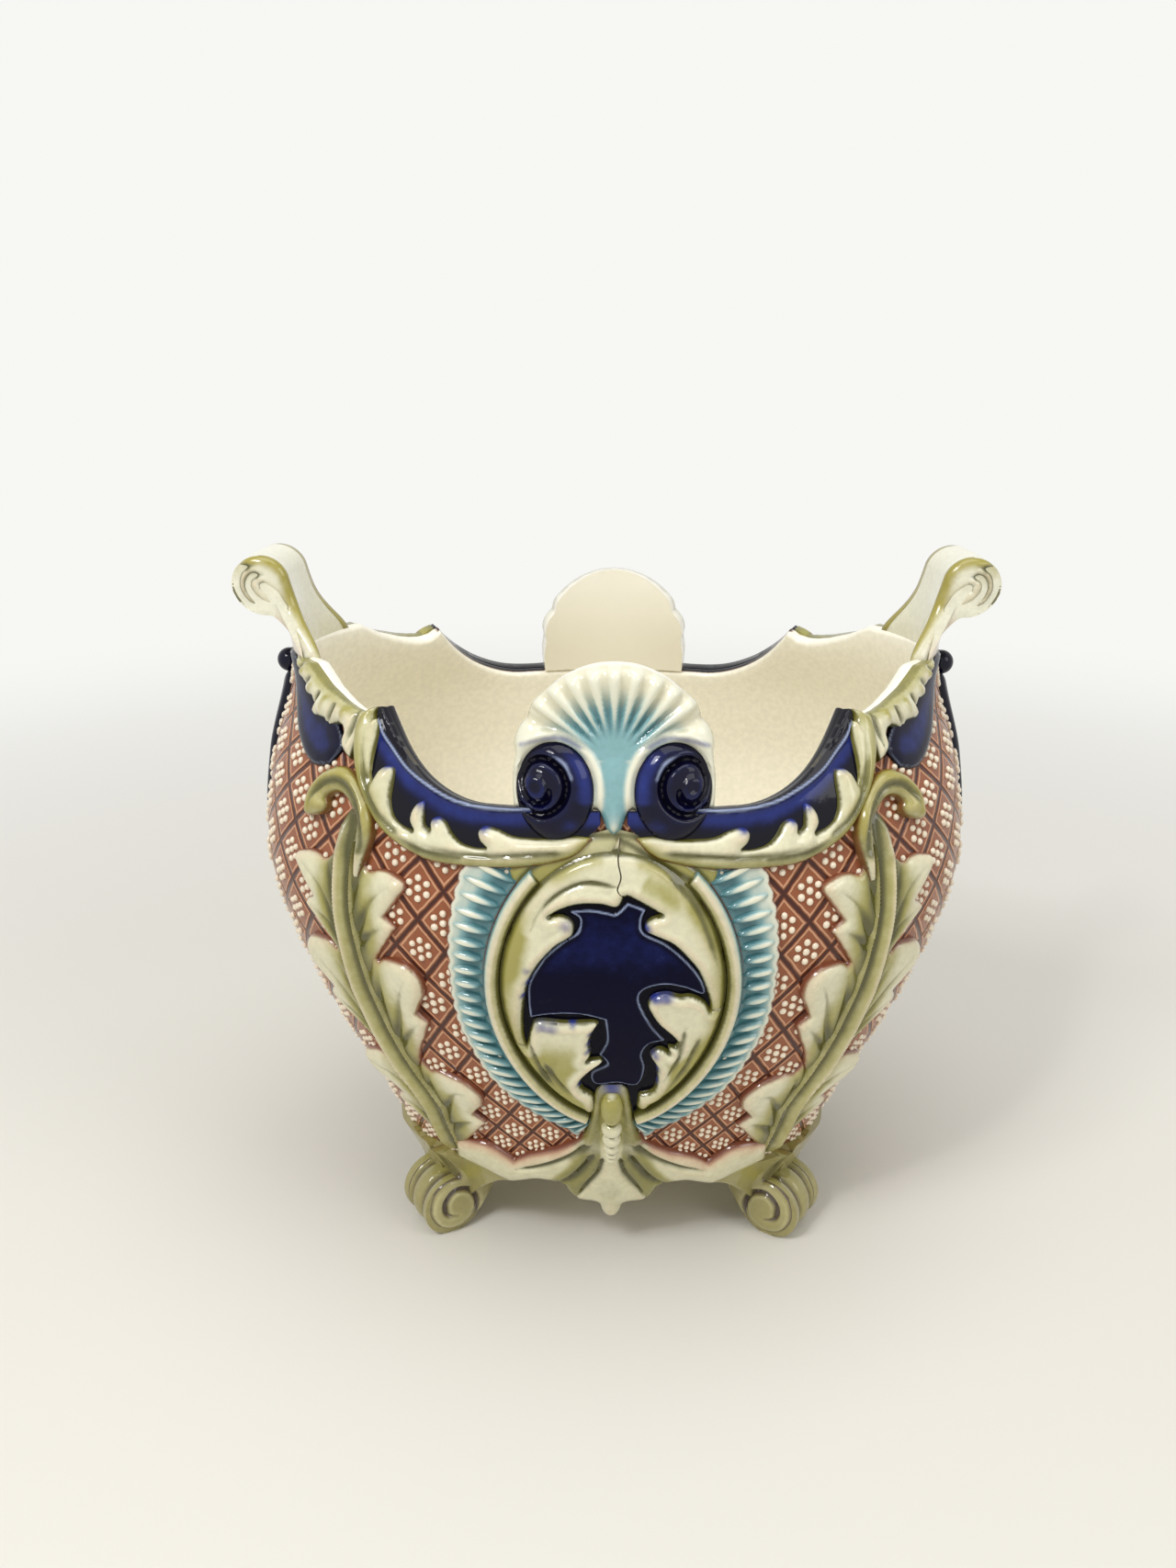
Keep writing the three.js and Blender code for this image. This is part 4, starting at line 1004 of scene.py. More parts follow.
def shape_of(obj):
    """Takes a stamped object apart into a Shape in mm."""
    mesh = obj.data
    mesh.calc_loop_triangles()
    points = np.empty(len(mesh.vertices) * 3)
    mesh.vertices.foreach_get("co", points)
    faces = np.empty(len(mesh.loop_triangles) * 3, int)
    mesh.loop_triangles.foreach_get("vertices", faces)
    bpy.data.objects.remove(obj)
    return Shape(points.reshape(-1, 3) / MM, faces.reshape(-1, 3))


def floret_places():
    """Place, stand, direction and size of the floret in every cell, all the way round."""
    places = []
    for a, z in cell_centres():
        size = float(np.interp(z, [60, 120], [0.78, 1.0]))
        for azimuth in (a, -a, 180 - a, 180 + a):
            if a > 89 and azimuth in (180 - a, 180 + a):
                continue  # the end's middle column is its own mirror image
            at = np.radians(azimuth)
            foot, normal = wall_foot(at, z), wall_normal(at, z)
            up = np.array([0, 0, 1.0])
            places.append((foot + 0.1 * normal, normal, up - normal * normal[2], (size,) * 3))
    return places


# ------------------------------------------------------------------ crest, volutes, rim
CREST_HALF = [
    (36, 221), (36.4, 231), (35.4, 239), (35.9, 243.5), (34.4, 248.6), (31, 252.8, 1), (29.4, 257.8),
    (24, 263.5), (18.6, 267.4), (13, 270.1), (6.8, 271.9), (0, 272.5),
]
SHELL_ROOT = (0.0, 238.0)  # where the flutes meet
VOLUTE_AT = (20.8, 227.8)
VOLUTE_HALF = (13.7, 17.2)
UNDER_VOLUTE = 0.8  # height of the crest where a volute covers it
STEM_TIP = [(9.5, 218), (6.8, 222), (4.2, 218.5), (2.6, 214.5), (0, 212.5)]


def ellipse(centre, half, count=64):
    a = 2 * math.pi * np.arange(count) / count
    return np.array(centre) + np.array(half) * np.stack([np.cos(a), np.sin(a)], -1)


def crest_shape():
    """Fan of shallow flutes rising from a stem between the two volutes."""
    right = curve(CREST_HALF)
    tip = curve(STEM_TIP)
    ring = ring_of(right, (right * (-1, 1))[::-1], (tip * (-1, 1)), tip[::-1])
    over_volutes = curve([(12, 243.5), (20, 246.5), (32, 243)])

    def polar(p):
        x, z = (p - SHELL_ROOT).T
        return np.hypot(x, z), np.degrees(np.arctan2(x, z))

    def flutes(p):
        reach, lean = polar(p)
        fine = np.cos(2 * math.pi * lean / sizes().flute_spread)
        fine = np.sign(fine) * np.abs(fine) ** 0.7
        wide = 0.4 - 1.6 * bell(np.abs(lean) - 62, 4.5)
        return np.where(np.abs(lean) < 59, fine, wide) * smooth((reach - 5) / 16)

    def beside_volutes(p):
        x = np.abs(p[:, 0]) - VOLUTE_AT[0]
        off = np.hypot(x / VOLUTE_HALF[0], (p[:, 1] - VOLUTE_AT[1]) / VOLUTE_HALF[1]) - 1
        return off * VOLUTE_HALF[0]

    def height(p, d):
        x, z = p.T
        reach, lean = polar(p)
        fan = 3.4 + 1.1 * flutes(p) * smooth((110 - np.abs(lean)) / 15)
        fan += 1.2 * smooth((reach - 14) / 18)
        stem = 3.0 + 2.2 * bell(x, 4.5) * smooth((244 - z) / 12)
        off = beside_volutes(p)
        fillet = 1.8 * bell(off - 2.2, 1.5) * smooth((z - 219) / 8)
        lower = np.maximum(fan * smooth((z - 224) / 12), stem)
        h = np.where(z > 240, fan, lower) + fillet
        h = UNDER_VOLUTE + (h - UNDER_VOLUTE) * smooth((off + 0.9) / 1.2)
        return h * (1 - 0.85 * fade(d, 1.3))

    def paint(p, d, h):
        x, z = p.T
        reach, lean = polar(p)
        ridge = smooth(0.5 + 0.7 * flutes(p))
        shade = smooth((36 - reach) / 26) * smooth((100 - np.abs(lean)) / 40)
        stem = bell(x, 6) * smooth((246 - z) / 10)
        light = 1 - smooth(1.3 * np.maximum(shade * (1.15 - 0.55 * ridge), stem))
        rolled_edge = fade(d, 2.2) * smooth((z - 226) / 6)
        edge = np.maximum(rolled_edge, bell(beside_volutes(p) - 2.2, 1.6))
        return {
            "cream": np.maximum(light, edge),
            "blue": 0.55 * bell(gap_to(np.abs(p), over_volutes), 1.3),
            "lagoon": 0.55 * smooth((reach - 4) / 10) * shade * (1 - ridge),
            "shade": 0.45 * (1 - ridge) * smooth((reach - 16) / 8),
        }

    def seat(p):
        return np.where(p[:, 1] > RIM_LOW_Z + 0.2, -WALL, -1.5)

    shell = sprig(face_sheet, ring, height, paint, step=0.8, seat=seat, backed=True)
    shell.masks["pool"] *= 0.45
    shell.masks["within"] = np.repeat([0.0, 1.0], len(shell.points) // 2)
    return shell


VOLUTE_GROOVE = [
    (34, 224), (30, 220.3), (24, 219.5), (18.5, 223), (16.3, 229), (18.3, 235), (24, 238.6),
    (29.5, 236.8), (32, 231.5), (30.6, 226), (27.4, 223.4), (23.6, 224.2), (22.2, 228), (23.5, 231.5),
]


def volute_shape():
    """Scroll of the rim band: it winds over the top and down into a raised eye."""
    ring = ring_of(ellipse(VOLUTE_AT, VOLUTE_HALF))

    def height(p, d):
        scroll = swell(d, 7.4, 3.6, 3.0) + stroke(p, VOLUTE_GROOVE, 1.3, -2.8, (0.05, 0.1))
        eye = np.hypot((p[:, 0] - 27) / 5.2, (p[:, 1] - 228.3) / 4.8)
        return scroll + 2.2 * np.exp(-(eye**4)) - 1.0 * bell(eye, 0.45)

    def paint(p, d, h):
        arc = [(9.5, 222), (10, 232), (14, 239.5), (20, 242.5)]
        return {
            "blue": 0.6 * stroke(p, arc, 3.5) + 0.4 * bell(p[:, 0] - 15, 4) * bell(p[:, 1] - 216, 3),
            "ink": 0.8 * stroke(p, VOLUTE_GROOVE, 1.6) + 0.6 * fade(d, 1.0),
            # Painted highlight: the light stroke over the top of the scroll.
            "light": 0.55 * stroke(p, [(14, 231), (17, 237.5), (23, 241)], 0.8),
        }

    return sprig(face_sheet, ring, height, paint, step=0.8, seat=0.5)


RIM_RIDGE = degrees([(14, 221.5), (20, 220.2), (25, 220.3), (30, 221.6), (35, 225), (40, 229.5),
                     (44, 234.8), (47.5, 239.5), (49.5, 244)])
BAND_LOW = degrees([(2.5, 216.5), (4.2, 213), (8, 209.6), (14, 207.5), (20, 203.5), (26, 203.5),
                    (32, 205), (37, 207), (42, 211), (46, 219), (49, 230), (50.5, 240), (50.5, 247)])
LEAF_FOOT = degrees([(53.8, 245.6), (54.4, 241), (53.9, 236), (52.1, 229), (49.4, 221.8), (45.8, 214),
                     (42.5, 207.8), (39.4, 204), (35.3, 200.6), (31.7, 199), (24.6, 199), (17, 200),
                     (10, 202.8), (6.5, 206), (4, 211.5)])
LEAF_TOP = degrees([
    (4, 211.5, 1), (7, 212.3), (10, 211.6), (14, 211), (18, 211.2), (21, 213.2), (23.3, 213.9),
    (24.6, 212), (24.3, 208.8), (23, 206.2, 1), (25, 206), (27.5, 207.3), (29.3, 210.5), (30.6, 214),
    (32.2, 215.3), (33.4, 213.6), (33.3, 210.8, 1), (34.3, 212), (34.8, 216), (35.2, 219.6),
    (36.3, 219), (37.2, 216), (37.3, 212.5), (36.4, 209.5, 1), (38.5, 210.5), (40.3, 213), (41.6, 218),
    (42.1, 224), (42.8, 228.6), (44.4, 229.2), (45.8, 227), (46.4, 222.8, 1), (47.3, 226), (48.1, 232),
    (48.6, 238), (49.2, 242.8), (50, 244.4), (50.7, 243.2, 1), (51.2, 246), (50.8, 248.7, 1),
    (52.3, 247.6), (53.8, 245.6, 1)])


def rim_edge(first, last, drop=0.3):
    """The rim between two azimuths, drawn just below its top."""
    azimuth = np.linspace(first, last, int(abs(last - first) * 2) + 2)
    return np.stack([azimuth * ARC, rim_z(azimuth) - drop], -1)


def rim_band_shape():
    """Dark band under the rim, with a raised line along it."""
    ring = ring_of(curve(BAND_LOW), rim_edge(50.6, 2.5))
    ridge = curve(RIM_RIDGE)

    def height(p, d):
        from_rim = np.clip(rim_z(p[:, 0] / ARC) - p[:, 1], 0, 99)
        near = gap_to(p, ridge)
        bevel = smooth((4.5 - from_rim) / 4.5)
        return 2.2 + 1.5 * bell(near, 1.1) + 0.9 * bevel - 1.2 * fade(from_rim, 0.6)

    def paint(p, d, h):
        x, z = p.T
        near = gap_to(p, ridge)
        below = np.interp(x, *ridge.T) - z
        return {
            # Painted highlight: the light line along the raised ridge.
            "light": 0.72 * bell(near, 0.7),
            "blue": 0.62 * smooth(below / 1.5) * smooth((9 - below) / 6) * (z > 212),
            "ink": 0.95 * smooth(-below / 1.2) + smooth((below - 6) / 5),
        }

    return sprig(round_sheet, ring, height, paint)


LEAF_VEINS = [
    degrees([(8, 206.5), (17, 204.8), (24, 203.3), (31, 204), (37, 207.2)]),
    degrees([(38, 206.3), (43, 213), (46.8, 221), (49.4, 230), (51, 239)]),
    degrees([(26, 202.2), (34, 203), (40.5, 208)]),
]
TOOTH_TIPS = degrees([(23.6, 214.6), (32.5, 216.2), (35.6, 220.4), (44.2, 230.4)])


def rim_leaf_shape():
    """Toothed leaf that runs along the foot of the band and up to the peak."""
    ring = ring_of(curve(LEAF_TOP), curve(LEAF_FOOT))
    light = curve(degrees([(47.6, 227), (48.6, 236), (49.4, 242), (50.2, 243)]))

    def height(p, d):
        h = swell(d, 6.2, 2.0, 2.6) + strokes(p, LEAF_VEINS, 1.1, -1.3)
        return h + 1.0 * bell(gap_to(p, light), 1.6)

    def paint(p, d, h):
        foot = gap_to(p, curve(LEAF_FOOT))
        tips = sum(bell(np.hypot(p[:, 0] - x, p[:, 1] - z), 3.2) for x, z in TOOTH_TIPS)
        return {
            "olive": 0.8 * bell(foot, 4.8) + 0.35 * smooth((p[:, 0] - 84) / 20),
            "moss": 0.75 * strokes(p, LEAF_VEINS, 1.7) + 0.5 * fade(foot, 1.2),
            "blue": 1.1 * tips,
            "rust": 0.9 * fade(foot, 0.5),
        }

    return sprig(round_sheet, ring, height, paint)


# ------------------------------------------------------------------ corner stems
# Left and right edge of the stem at each height.
STEM_Z = [46, 50, 60, 70, 80, 90, 100, 120, 140, 160, 180, 200, 214]
STEM_LEFT = [-10, -12, -15.5, -17, -19, -17, -15.5, -13, -12, -12, -11, -11, -10]
STEM_RIGHT = [-1.5, -3, -5.5, -6, -6.5, -5.5, -2, 0, 0.5, -1.3, -1.3, -0.5, 3]
HEAD_OUT = [(-13.2, 188), (-15.5, 198), (-16.3, 206), (-14, 213), (-7.5, 219.5), (-2, 223.5),
            (4, 225.5), (9, 224.5), (14, 221), (17.5, 215), (18, 208), (16.8, 205)]
HEAD_IN = [(14, 205.6), (9.5, 207.3), (6.9, 209.2), (6.5, 211.7), (7.6, 214), (4, 216.4), (-0.5, 216.3),
           (-5, 213.5), (-8.6, 209.5), (-10, 203), (-10.6, 195), (-11.2, 188)]
STEM_LEAVES = [
    {"edge": [(-6, 200, 1), (-10, 197), (-14, 193.6, 1), (-17, 191.3), (-21, 192.6), (-25, 192.7),
              (-32, 190.5), (-33.5, 187.5), (-30, 182), (-24.5, 174.6, 1), (-27, 173), (-29.5, 171, 1),
              (-24, 164), (-17, 155), (-11, 145), (-6, 150, 1)],
     "veins": [[(-9, 158), (-14, 170), (-19, 180), (-27, 187)], [(-11, 160), (-17, 166), (-25, 171)],
               [(-9, 175), (-12, 184), (-14, 190)]]},
    {"edge": [(-6, 158, 1), (-10, 148), (-15.5, 157, 1), (-17, 153.3, 1), (-20, 155.3), (-23, 156),
              (-31, 155), (-35.5, 150), (-35, 143), (-31.5, 137.5), (-28, 132, 1), (-31.8, 128, 1),
              (-27, 120), (-20, 110), (-14, 98), (-6, 104, 1)],
     "veins": [[(-11, 108), (-16, 122), (-22, 137), (-29, 149)], [(-13, 112), (-20, 120), (-28, 128)],
               [(-10, 122), (-13, 136), (-17, 149)]]},
    {"edge": [(-8, 106, 1), (-12, 98), (-17.5, 104, 1), (-20.5, 99.3, 1), (-24, 100.3), (-29, 99.3),
              (-36, 97), (-40, 91), (-38, 85), (-34, 81), (-30.6, 77.6, 1), (-34.8, 73.6, 1),
              (-28, 67), (-21, 60), (-14, 54), (-8, 60, 1)],
     "veins": [[(-14, 70), (-20, 80), (-27, 89), (-35, 93)], [(-14, 66), (-22, 70), (-31, 75)],
               [(-15, 80), (-17, 90), (-19, 97)]]},
]


def stem_middle(z):
    """Middle of the stem at a height."""
    return (np.interp(z, STEM_Z, STEM_LEFT) + np.interp(z, STEM_Z, STEM_RIGHT)) / 2


def across_stem(points):
    """The same line on the other side of the stem."""
    return [(float(2 * stem_middle(p[1]) - p[0]), *p[1:]) for p in points]


def corner_leaf(leaf, turn):
    """One lobed leaf of the stem, turned to either side of it."""
    veins = [turn(vein) for vein in leaf["veins"]]

    def from_stem(p):
        return np.abs(p[:, 0] - stem_middle(p[:, 1]))

    def height(p, d):
        cup = 3.4 + 2.0 * smooth((from_stem(p) - 12) / 16)
        return swell(d, 1, 1.5, 0.25) * cup + strokes(p, veins, 1.3, -1.2, (0.05, 0.6))

    def paint(p, d, h):
        far = from_stem(p)
        return {
            "olive": 0.8 * smooth((20 - far) / 13) + 0.4 * strokes(p, veins, 4.0, 1.0, (0.05, 0.7)),
            "moss": 0.7 * strokes(p, veins, 1.8, 1.0, (0.05, 0.7)) + 0.75 * smooth((12 - far) / 7),
            "blush": 0.7 * fade(d, 1.3),
            "rust": 0.9 * fade(d, 0.45),
        }

    return sprig(corner_sheet, loop(turn(leaf["edge"])), height, paint)


def corner_stem_shape():
    """Reeded stem with a hooked head and three lobed leaves on either side."""
    left = curve([*zip(STEM_LEFT[:-1], STEM_Z), (-9.5, 207), (-6.5, 212)])
    right = curve([*zip(STEM_RIGHT[:-1], STEM_Z), (-1.2, 207), (-3.5, 212)])
    reed = [0.0, 0.09, 0.2, 0.3, 0.42, 0.56, 0.7, 0.82, 0.92, 1.0]
    rise = [2.6, 5.2, 3.6, 2.4, 3.6, 5.6, 7.0, 5.2, 4.6, 2.4]

    def share(p):
        x, z = p.T
        a = np.interp(z, STEM_Z, STEM_LEFT)
        b = np.interp(z, STEM_Z, STEM_RIGHT)
        return (x - a) / (b - a)

    def stem_height(p, d):
        z = p[:, 1]
        foot = (0.25 + 0.75 * smooth((z - 44) / 16)) * (0.3 + 0.7 * smooth((213 - z) / 18))
        return np.interp(share(p), reed, rise) * (0.55 + 0.45 * smooth(d / 1.6)) * foot

    def stem_paint(p, d, h):
        z = p[:, 1]
        s = share(p)
        # Painted shade: dark moss down the low reed at a third of the width; painted highlight: less olive
        # along the high reed at seven tenths.
        groove_shade = bell(s - 0.32, 0.14)
        return {
            "olive": 0.72 - 0.5 * bell(s - 0.72, 0.1) * smooth((z - 70) / 30),
            "moss": 0.95 * groove_shade + 0.45 * smooth((z - 190) / 12) + 0.5 * fade(d, 1.1),
        }

    stem = sprig(corner_sheet, ring_of(left, right[::-1]), stem_height, stem_paint)
    outer = curve(HEAD_OUT)
    fold = [(-13, 196), (-12.6, 205), (-8, 214), (0, 219.8), (7.5, 219.2), (12.3, 214.5), (13, 209.5)]

    def head_height(p, d):
        folded = stroke(p, fold, 1.3, -2.2, (0.1, 0.15)) - 0.5 * fade(gap_to(p, outer), 1.0)
        return swell(d, 8.2, 2.6, 3.4) + folded

    def head_paint(p, d, h):
        z = p[:, 1]
        return {"gold": 0.62 * smooth((z - 196) / 12),
                "olive": 0.6 * smooth((z - 188) / 14) - 0.4 * stroke(p, HEAD_IN, 2.5),
                "moss": 0.85 * stroke(p, fold, 1.8, 1.0, (0.05, 0.1)) + 0.4 * fade(d, 1.0),
                "rust": 0.6 * fade(d, 0.4)}

    head = sprig(corner_sheet, ring_of(outer, curve(HEAD_IN)), head_height, head_paint)
    leaves = [corner_leaf(leaf, turn) for leaf in STEM_LEAVES for turn in (list, across_stem)]
    return joined(stem, head, *leaves)


# ------------------------------------------------------------------ medallion
OVAL_X, OVAL_Z, OVAL_UP, OVAL_DOWN = 47.7, 152.0, 60.7, 72.0
OVAL_RING = 5.5                            # width of the ring
RING_FROM, RING_TO = 0.68, math.pi - 0.24  # radians from the top of the oval


def oval(angle, grow=0.0):
    """Right half of the medallion's outline: angle 0 at the top, pi at the foot."""
    high = np.cos(angle)
    reach = np.where(high > 0, OVAL_UP, OVAL_DOWN)
    fall = np.where(high > 0, 1, 1 - 0.17 * high**2 * (1 - 0.25 * np.abs(high)))
    x = (OVAL_X * fall + grow) * np.sin(angle)
    return np.stack([x, OVAL_Z + (reach + grow) * high], -1)


def oval_line(first, last, grow=0.0, side=1):
    return oval(np.linspace(first, last, int(abs(last - first) * 60) + 2), grow) * (side, 1)


def medallion_ring_shape():
    """Plain moulding round the medallion, right half."""
    ring = ring_of(oval_line(RING_FROM, RING_TO), oval_line(RING_TO, RING_FROM, -OVAL_RING))
    outer = oval_line(0.4, math.pi - 0.1)

    def height(p, d):
        far = gap_to(p, outer)
        return 1.6 + 4.4 * np.sin(math.pi * np.clip(0.12 + 0.76 * far / OVAL_RING, 0, 1)) ** 0.8

    def paint(p, d, h):
        far = gap_to(p, outer)
        return {"moss": smooth((far - 3.9) / 1.5), "olive": 0.6 * smooth((far - 2.4) / 1.5),
                "teal": 0.75 * fade(far, 1.6)}

    return sprig(face_sheet, ring, height, paint)


FRILL_EDGE = [(52, 204), (55.5, 196), (58.8, 184), (60.6, 172), (61, 157), (60.4, 143), (58.4, 130),
              (54, 117), (47.5, 103), (38.5, 91.5), (27.5, 81.5), (18.5, 75.5), (13.5, 71.5)]
FRILL_FROM, FRILL_TO = 0.62, math.pi - 0.2


def frill_ribs():
    """Place, stand, direction and size of every slanted rib of one frill."""
    edge = curve(FRILL_EDGE, 0.5)
    steps = (np.arange(sizes().frill_ribs) + 0.5) / sizes().frill_ribs
    inner = oval(FRILL_FROM + (FRILL_TO - FRILL_FROM) * np.minimum(steps + 0.062, 1), 0.4)
    outer = edge[(steps * (len(edge) - 1)).astype(int)]
    pitch = np.linalg.norm(np.gradient(inner, axis=0), axis=1)
    middle = (inner + outer) / 2
    one = np.ones(len(steps))
    run = face_sheet(*outer.T, 1.2 * one) - face_sheet(*inner.T, 1.2 * one)
    centre = face_sheet(*middle.T, one)
    stand = centre - face_sheet(*middle.T, 0 * one)
    size = np.stack([0.98 * np.linalg.norm(run, axis=1), 0.66 * np.clip(pitch, 3.0, 7.0), 5.0 * one], -1)
    return list(zip(centre, stand, run, size))


def frill_shape():
    """Scalloped teal border with a stamped row of slanted ribs."""
    edge = curve(FRILL_EDGE, 0.9)
    wave = np.abs(np.sin(math.pi * sizes().frill_ribs * np.linspace(0, 1, len(edge))))
    way = np.gradient(edge, axis=0)
    outward = np.stack([-way[:, 1], way[:, 0]], -1) / np.linalg.norm(way, axis=1)[:, None]
    scallop = edge + outward * (0.9 * wave - 0.4)[:, None]
    ring = ring_of(scallop, oval_line(FRILL_TO, FRILL_FROM, 0.3))
    inner_line = oval_line(FRILL_FROM, FRILL_TO)

    def height(p, d):
        far = gap_to(p, inner_line)
        return 1.0 + 0.9 * smooth((far - 6) / 6) + 0.6 * bell(d - 1.2, 1.0)

    def paint(p, d, h):
        far = gap_to(p, inner_line)
        return {"cream": 0.5 * smooth((far - 9) / 4) + 0.5 * fade(d, 1.2),
                "lagoon": 0.75 * smooth((12 - far) / 5), "rust": 0.9 * fade(d, 0.4)}

    base = sprig(face_sheet, ring, height, paint)
    places = frill_ribs()
    ribs = shape_of(stamped("frill_rib_stamps", places, gadroon_tree(), teal_glaze(), {"Fullness": MM}))
    centres, stands = (np.array([place[k] for place in places]) for k in (0, 1))
    apart = ribs.points.reshape(len(places), -1, 3) - centres[:, None]
    crown = smooth((np.einsum("ijk,ik->ij", apart, stands).ravel() - 1.5) / 1.0)
    far = gap_to(ribs.points[:, [0, 2]], inner_line)
    ribs.masks = {
        "cream": 0.8 * crown * (0.6 + 0.4 * smooth((far - 2) / 7)) + 0.35 * smooth((far - 8) / 4),
        "lagoon": 0.6 * (1 - crown) * smooth((12 - far) / 5)}
    return joined(base, ribs)


PANEL_RIGHT = [
    (3.75, 190.5), (5, 190.9), (10, 188.4), (17.25, 184, 1), (13.5, 182.75), (11.5, 180.25),
    (11.9, 177.75), (15, 175.9), (21.25, 172.75), (26.25, 167.75), (31.25, 160.9), (34.4, 152.75),
    (36.25, 145.9), (36.4, 142.6, 1)]
PANEL_RIGHT_LOW = [
    (36.4, 142.6, 1), (34.4, 146.5), (31.25, 149), (28.1, 150.25), (25, 150), (20, 151.5), (15, 150.25),
    (13.1, 146.5), (14.4, 142.1), (17.5, 136.5), (21.9, 131.5), (24.6, 127.5), (24, 124.6, 1),
    (21.25, 125.2), (21.9, 122.2, 1), (18.75, 124.25), (16, 123.4), (14.4, 120.9), (15.6, 117.75),
    (16.9, 114), (17.25, 107.75), (16.25, 101.5), (13.1, 99.6), (10.6, 98.6), (10, 91.5), (9.5, 84)]
PANEL_LEFT_LOW = [
    (-6.5, 84), (-6.5, 90.25), (-7.1, 98), (-11.25, 102.1), (-12.1, 106.5), (-10, 110.25), (-6.9, 114),
    (-3.75, 117.1, 1), (-4.4, 118.75), (-9.4, 118.2, 1), (-8.1, 121.5), (-8.5, 126.5), (-7.75, 131.5),
    (-5.25, 137.1, 1), (-6.9, 138), (-17.5, 137.3), (-28.1, 137.75), (-30.6, 134), (-31.9, 127.75),
    (-32.6, 123.8, 1)]
PANEL_LEFT = [
    (-32.6, 123.8, 1), (-33.5, 127.75), (-33.75, 134), (-33.5, 140.25), (-32.5, 149), (-30.6, 156.5),
    (-26.9, 164), (-21.25, 170.9), (-16.25, 174.6), (-14.4, 176.5), (-14.2, 180.25), (-16.25, 182.6),
    (-19.4, 183.6), (-22.9, 182.9, 1), (-18.75, 185.5), (-12.5, 187.5), (-5, 187.75), (1.25, 186.75),
    (3.75, 190.5, 1)]
PANEL_EDGES = (PANEL_RIGHT, PANEL_RIGHT_LOW, PANEL_LEFT_LOW, PANEL_LEFT)
PLATEAU = [
    (-15, 184.6, 1), (-8.4, 185.2), (-2, 184.2), (1.1, 183.8), (5.2, 187.8, 1), (11.1, 185.5, 1),
    (9.7, 181.5), (10.8, 176.6), (18.5, 172.4), (25.4, 166.1), (31.6, 157.8), (33.6, 150.6),
    (26.8, 153.6), (18.9, 155.4), (11.2, 153), (9.4, 147.5), (14.2, 135.6), (19.5, 127.9, 1),
    (13.8, 126.3), (11, 120.6), (12.2, 113.1), (9.6, 104.4), (2, 105.6), (-6.2, 104.7), (-7.6, 110.6),
    (-1.6, 115.4), (-4.6, 120.6, 1), (-1.8, 127.8), (-2.5, 138.6, 1), (-12.3, 141.2), (-23.2, 140.7),
    (-30.6, 138.8, 1), (-31, 146.6), (-30.3, 155.2), (-24.8, 165.9), (-18, 172.8), (-13.2, 176.1),
    (-11.7, 179.3), (-11.9, 182.6)]


def medallion_panel_shape():
    """Dark glazed field between the leaves, with a thin raised outline inside its edge."""
    ring = ring_of(*(curve(line) for line in PANEL_EDGES))
    plateau = loop(PLATEAU, 0.7)

    def from_plateau(p):
        far = gap_to(p, plateau, closed=True)
        return np.where(inside(p, plateau), far, -far)

    def height(p, d):
        far = from_plateau(p)
        return 1.5 + 0.9 * smooth((far + 0.9) / 1.2) + 0.35 * bell(far, 0.6)

    def paint(p, d, h):
        z = p[:, 1]
        far = from_plateau(p)
        # Painted light: a highlight along the raised outline, a paler blue sheen towards the top, and ink
        # darker towards the bottom.
        lit = smooth((z - 150) / 30)
        return {
            "light": 0.62 * bell(far, 0.42),
            "blue": 0.28 * smooth(far / 3) * np.minimum(0.5 + lit, 1) * bell(z - 172, 16),
            "ink": 0.9 * smooth((-far - 0.2) / 0.8) + 0.35 * smooth((150 - z) / 25),
        }

    return sprig(face_sheet, ring, height, paint, step=0.62)


LEAF_GROOVES = [
    [(1, 194.6), (-9, 196), (-17.5, 193), (-23.6, 188), (-27.5, 182.5), (-29.5, 178)],
    [(-25, 204), (-31, 195), (-35.5, 186), (-38, 175)],
    [(18.75, 199), (27.5, 189), (32.5, 180), (37.5, 165), (39, 158)],
    [(18.75, 211.5), (25, 204), (32.5, 189), (38.75, 178), (40.7, 165)],
    [(-26, 118), (-20, 106), (-13, 97)], [(-31, 128), (-28, 116), (-20, 101)],
    [(33, 132), (28, 116), (19, 99)], [(27, 136), (25, 120), (18.5, 106)],
]
OLIVE_BRUSHED = [
    [(7, 207), (15, 203), (24, 195), (31, 184), (36, 172)], [(10, 197), (18, 192), (26, 184)],
    [(-3, 208), (-12, 205), (-21, 199), (-27, 192)], [(-34, 178), (-36.5, 168), (-37.5, 152)],
]
LEAF_INSET = -OVAL_RING - 0.3
# Middle and radius of each dab of blue that has run onto a leaf.
BLUE_DABS = [
    (-17.5, 179.6, 2.6), (12.2, 179, 2.2), (-27, 135.4, 2.6), (-22.5, 134.6, 2.8), (-15, 137.2, 1.6),
    (-8.6, 133, 1.6), (-9.2, 128, 1.7), (-9.6, 123.8, 1.6), (15.5, 149.8, 2.4), (20, 149.8, 2.6),
    (16.6, 121.6, 2.0), (16.4, 114.6, 2.4), (16.0, 108, 2.6), (-12.4, 106, 1.8), (-30.5, 156, 2.2),
    (-31.5, 162, 2.0), (-33, 150, 1.6), (13.6, 103, 2.0),
]


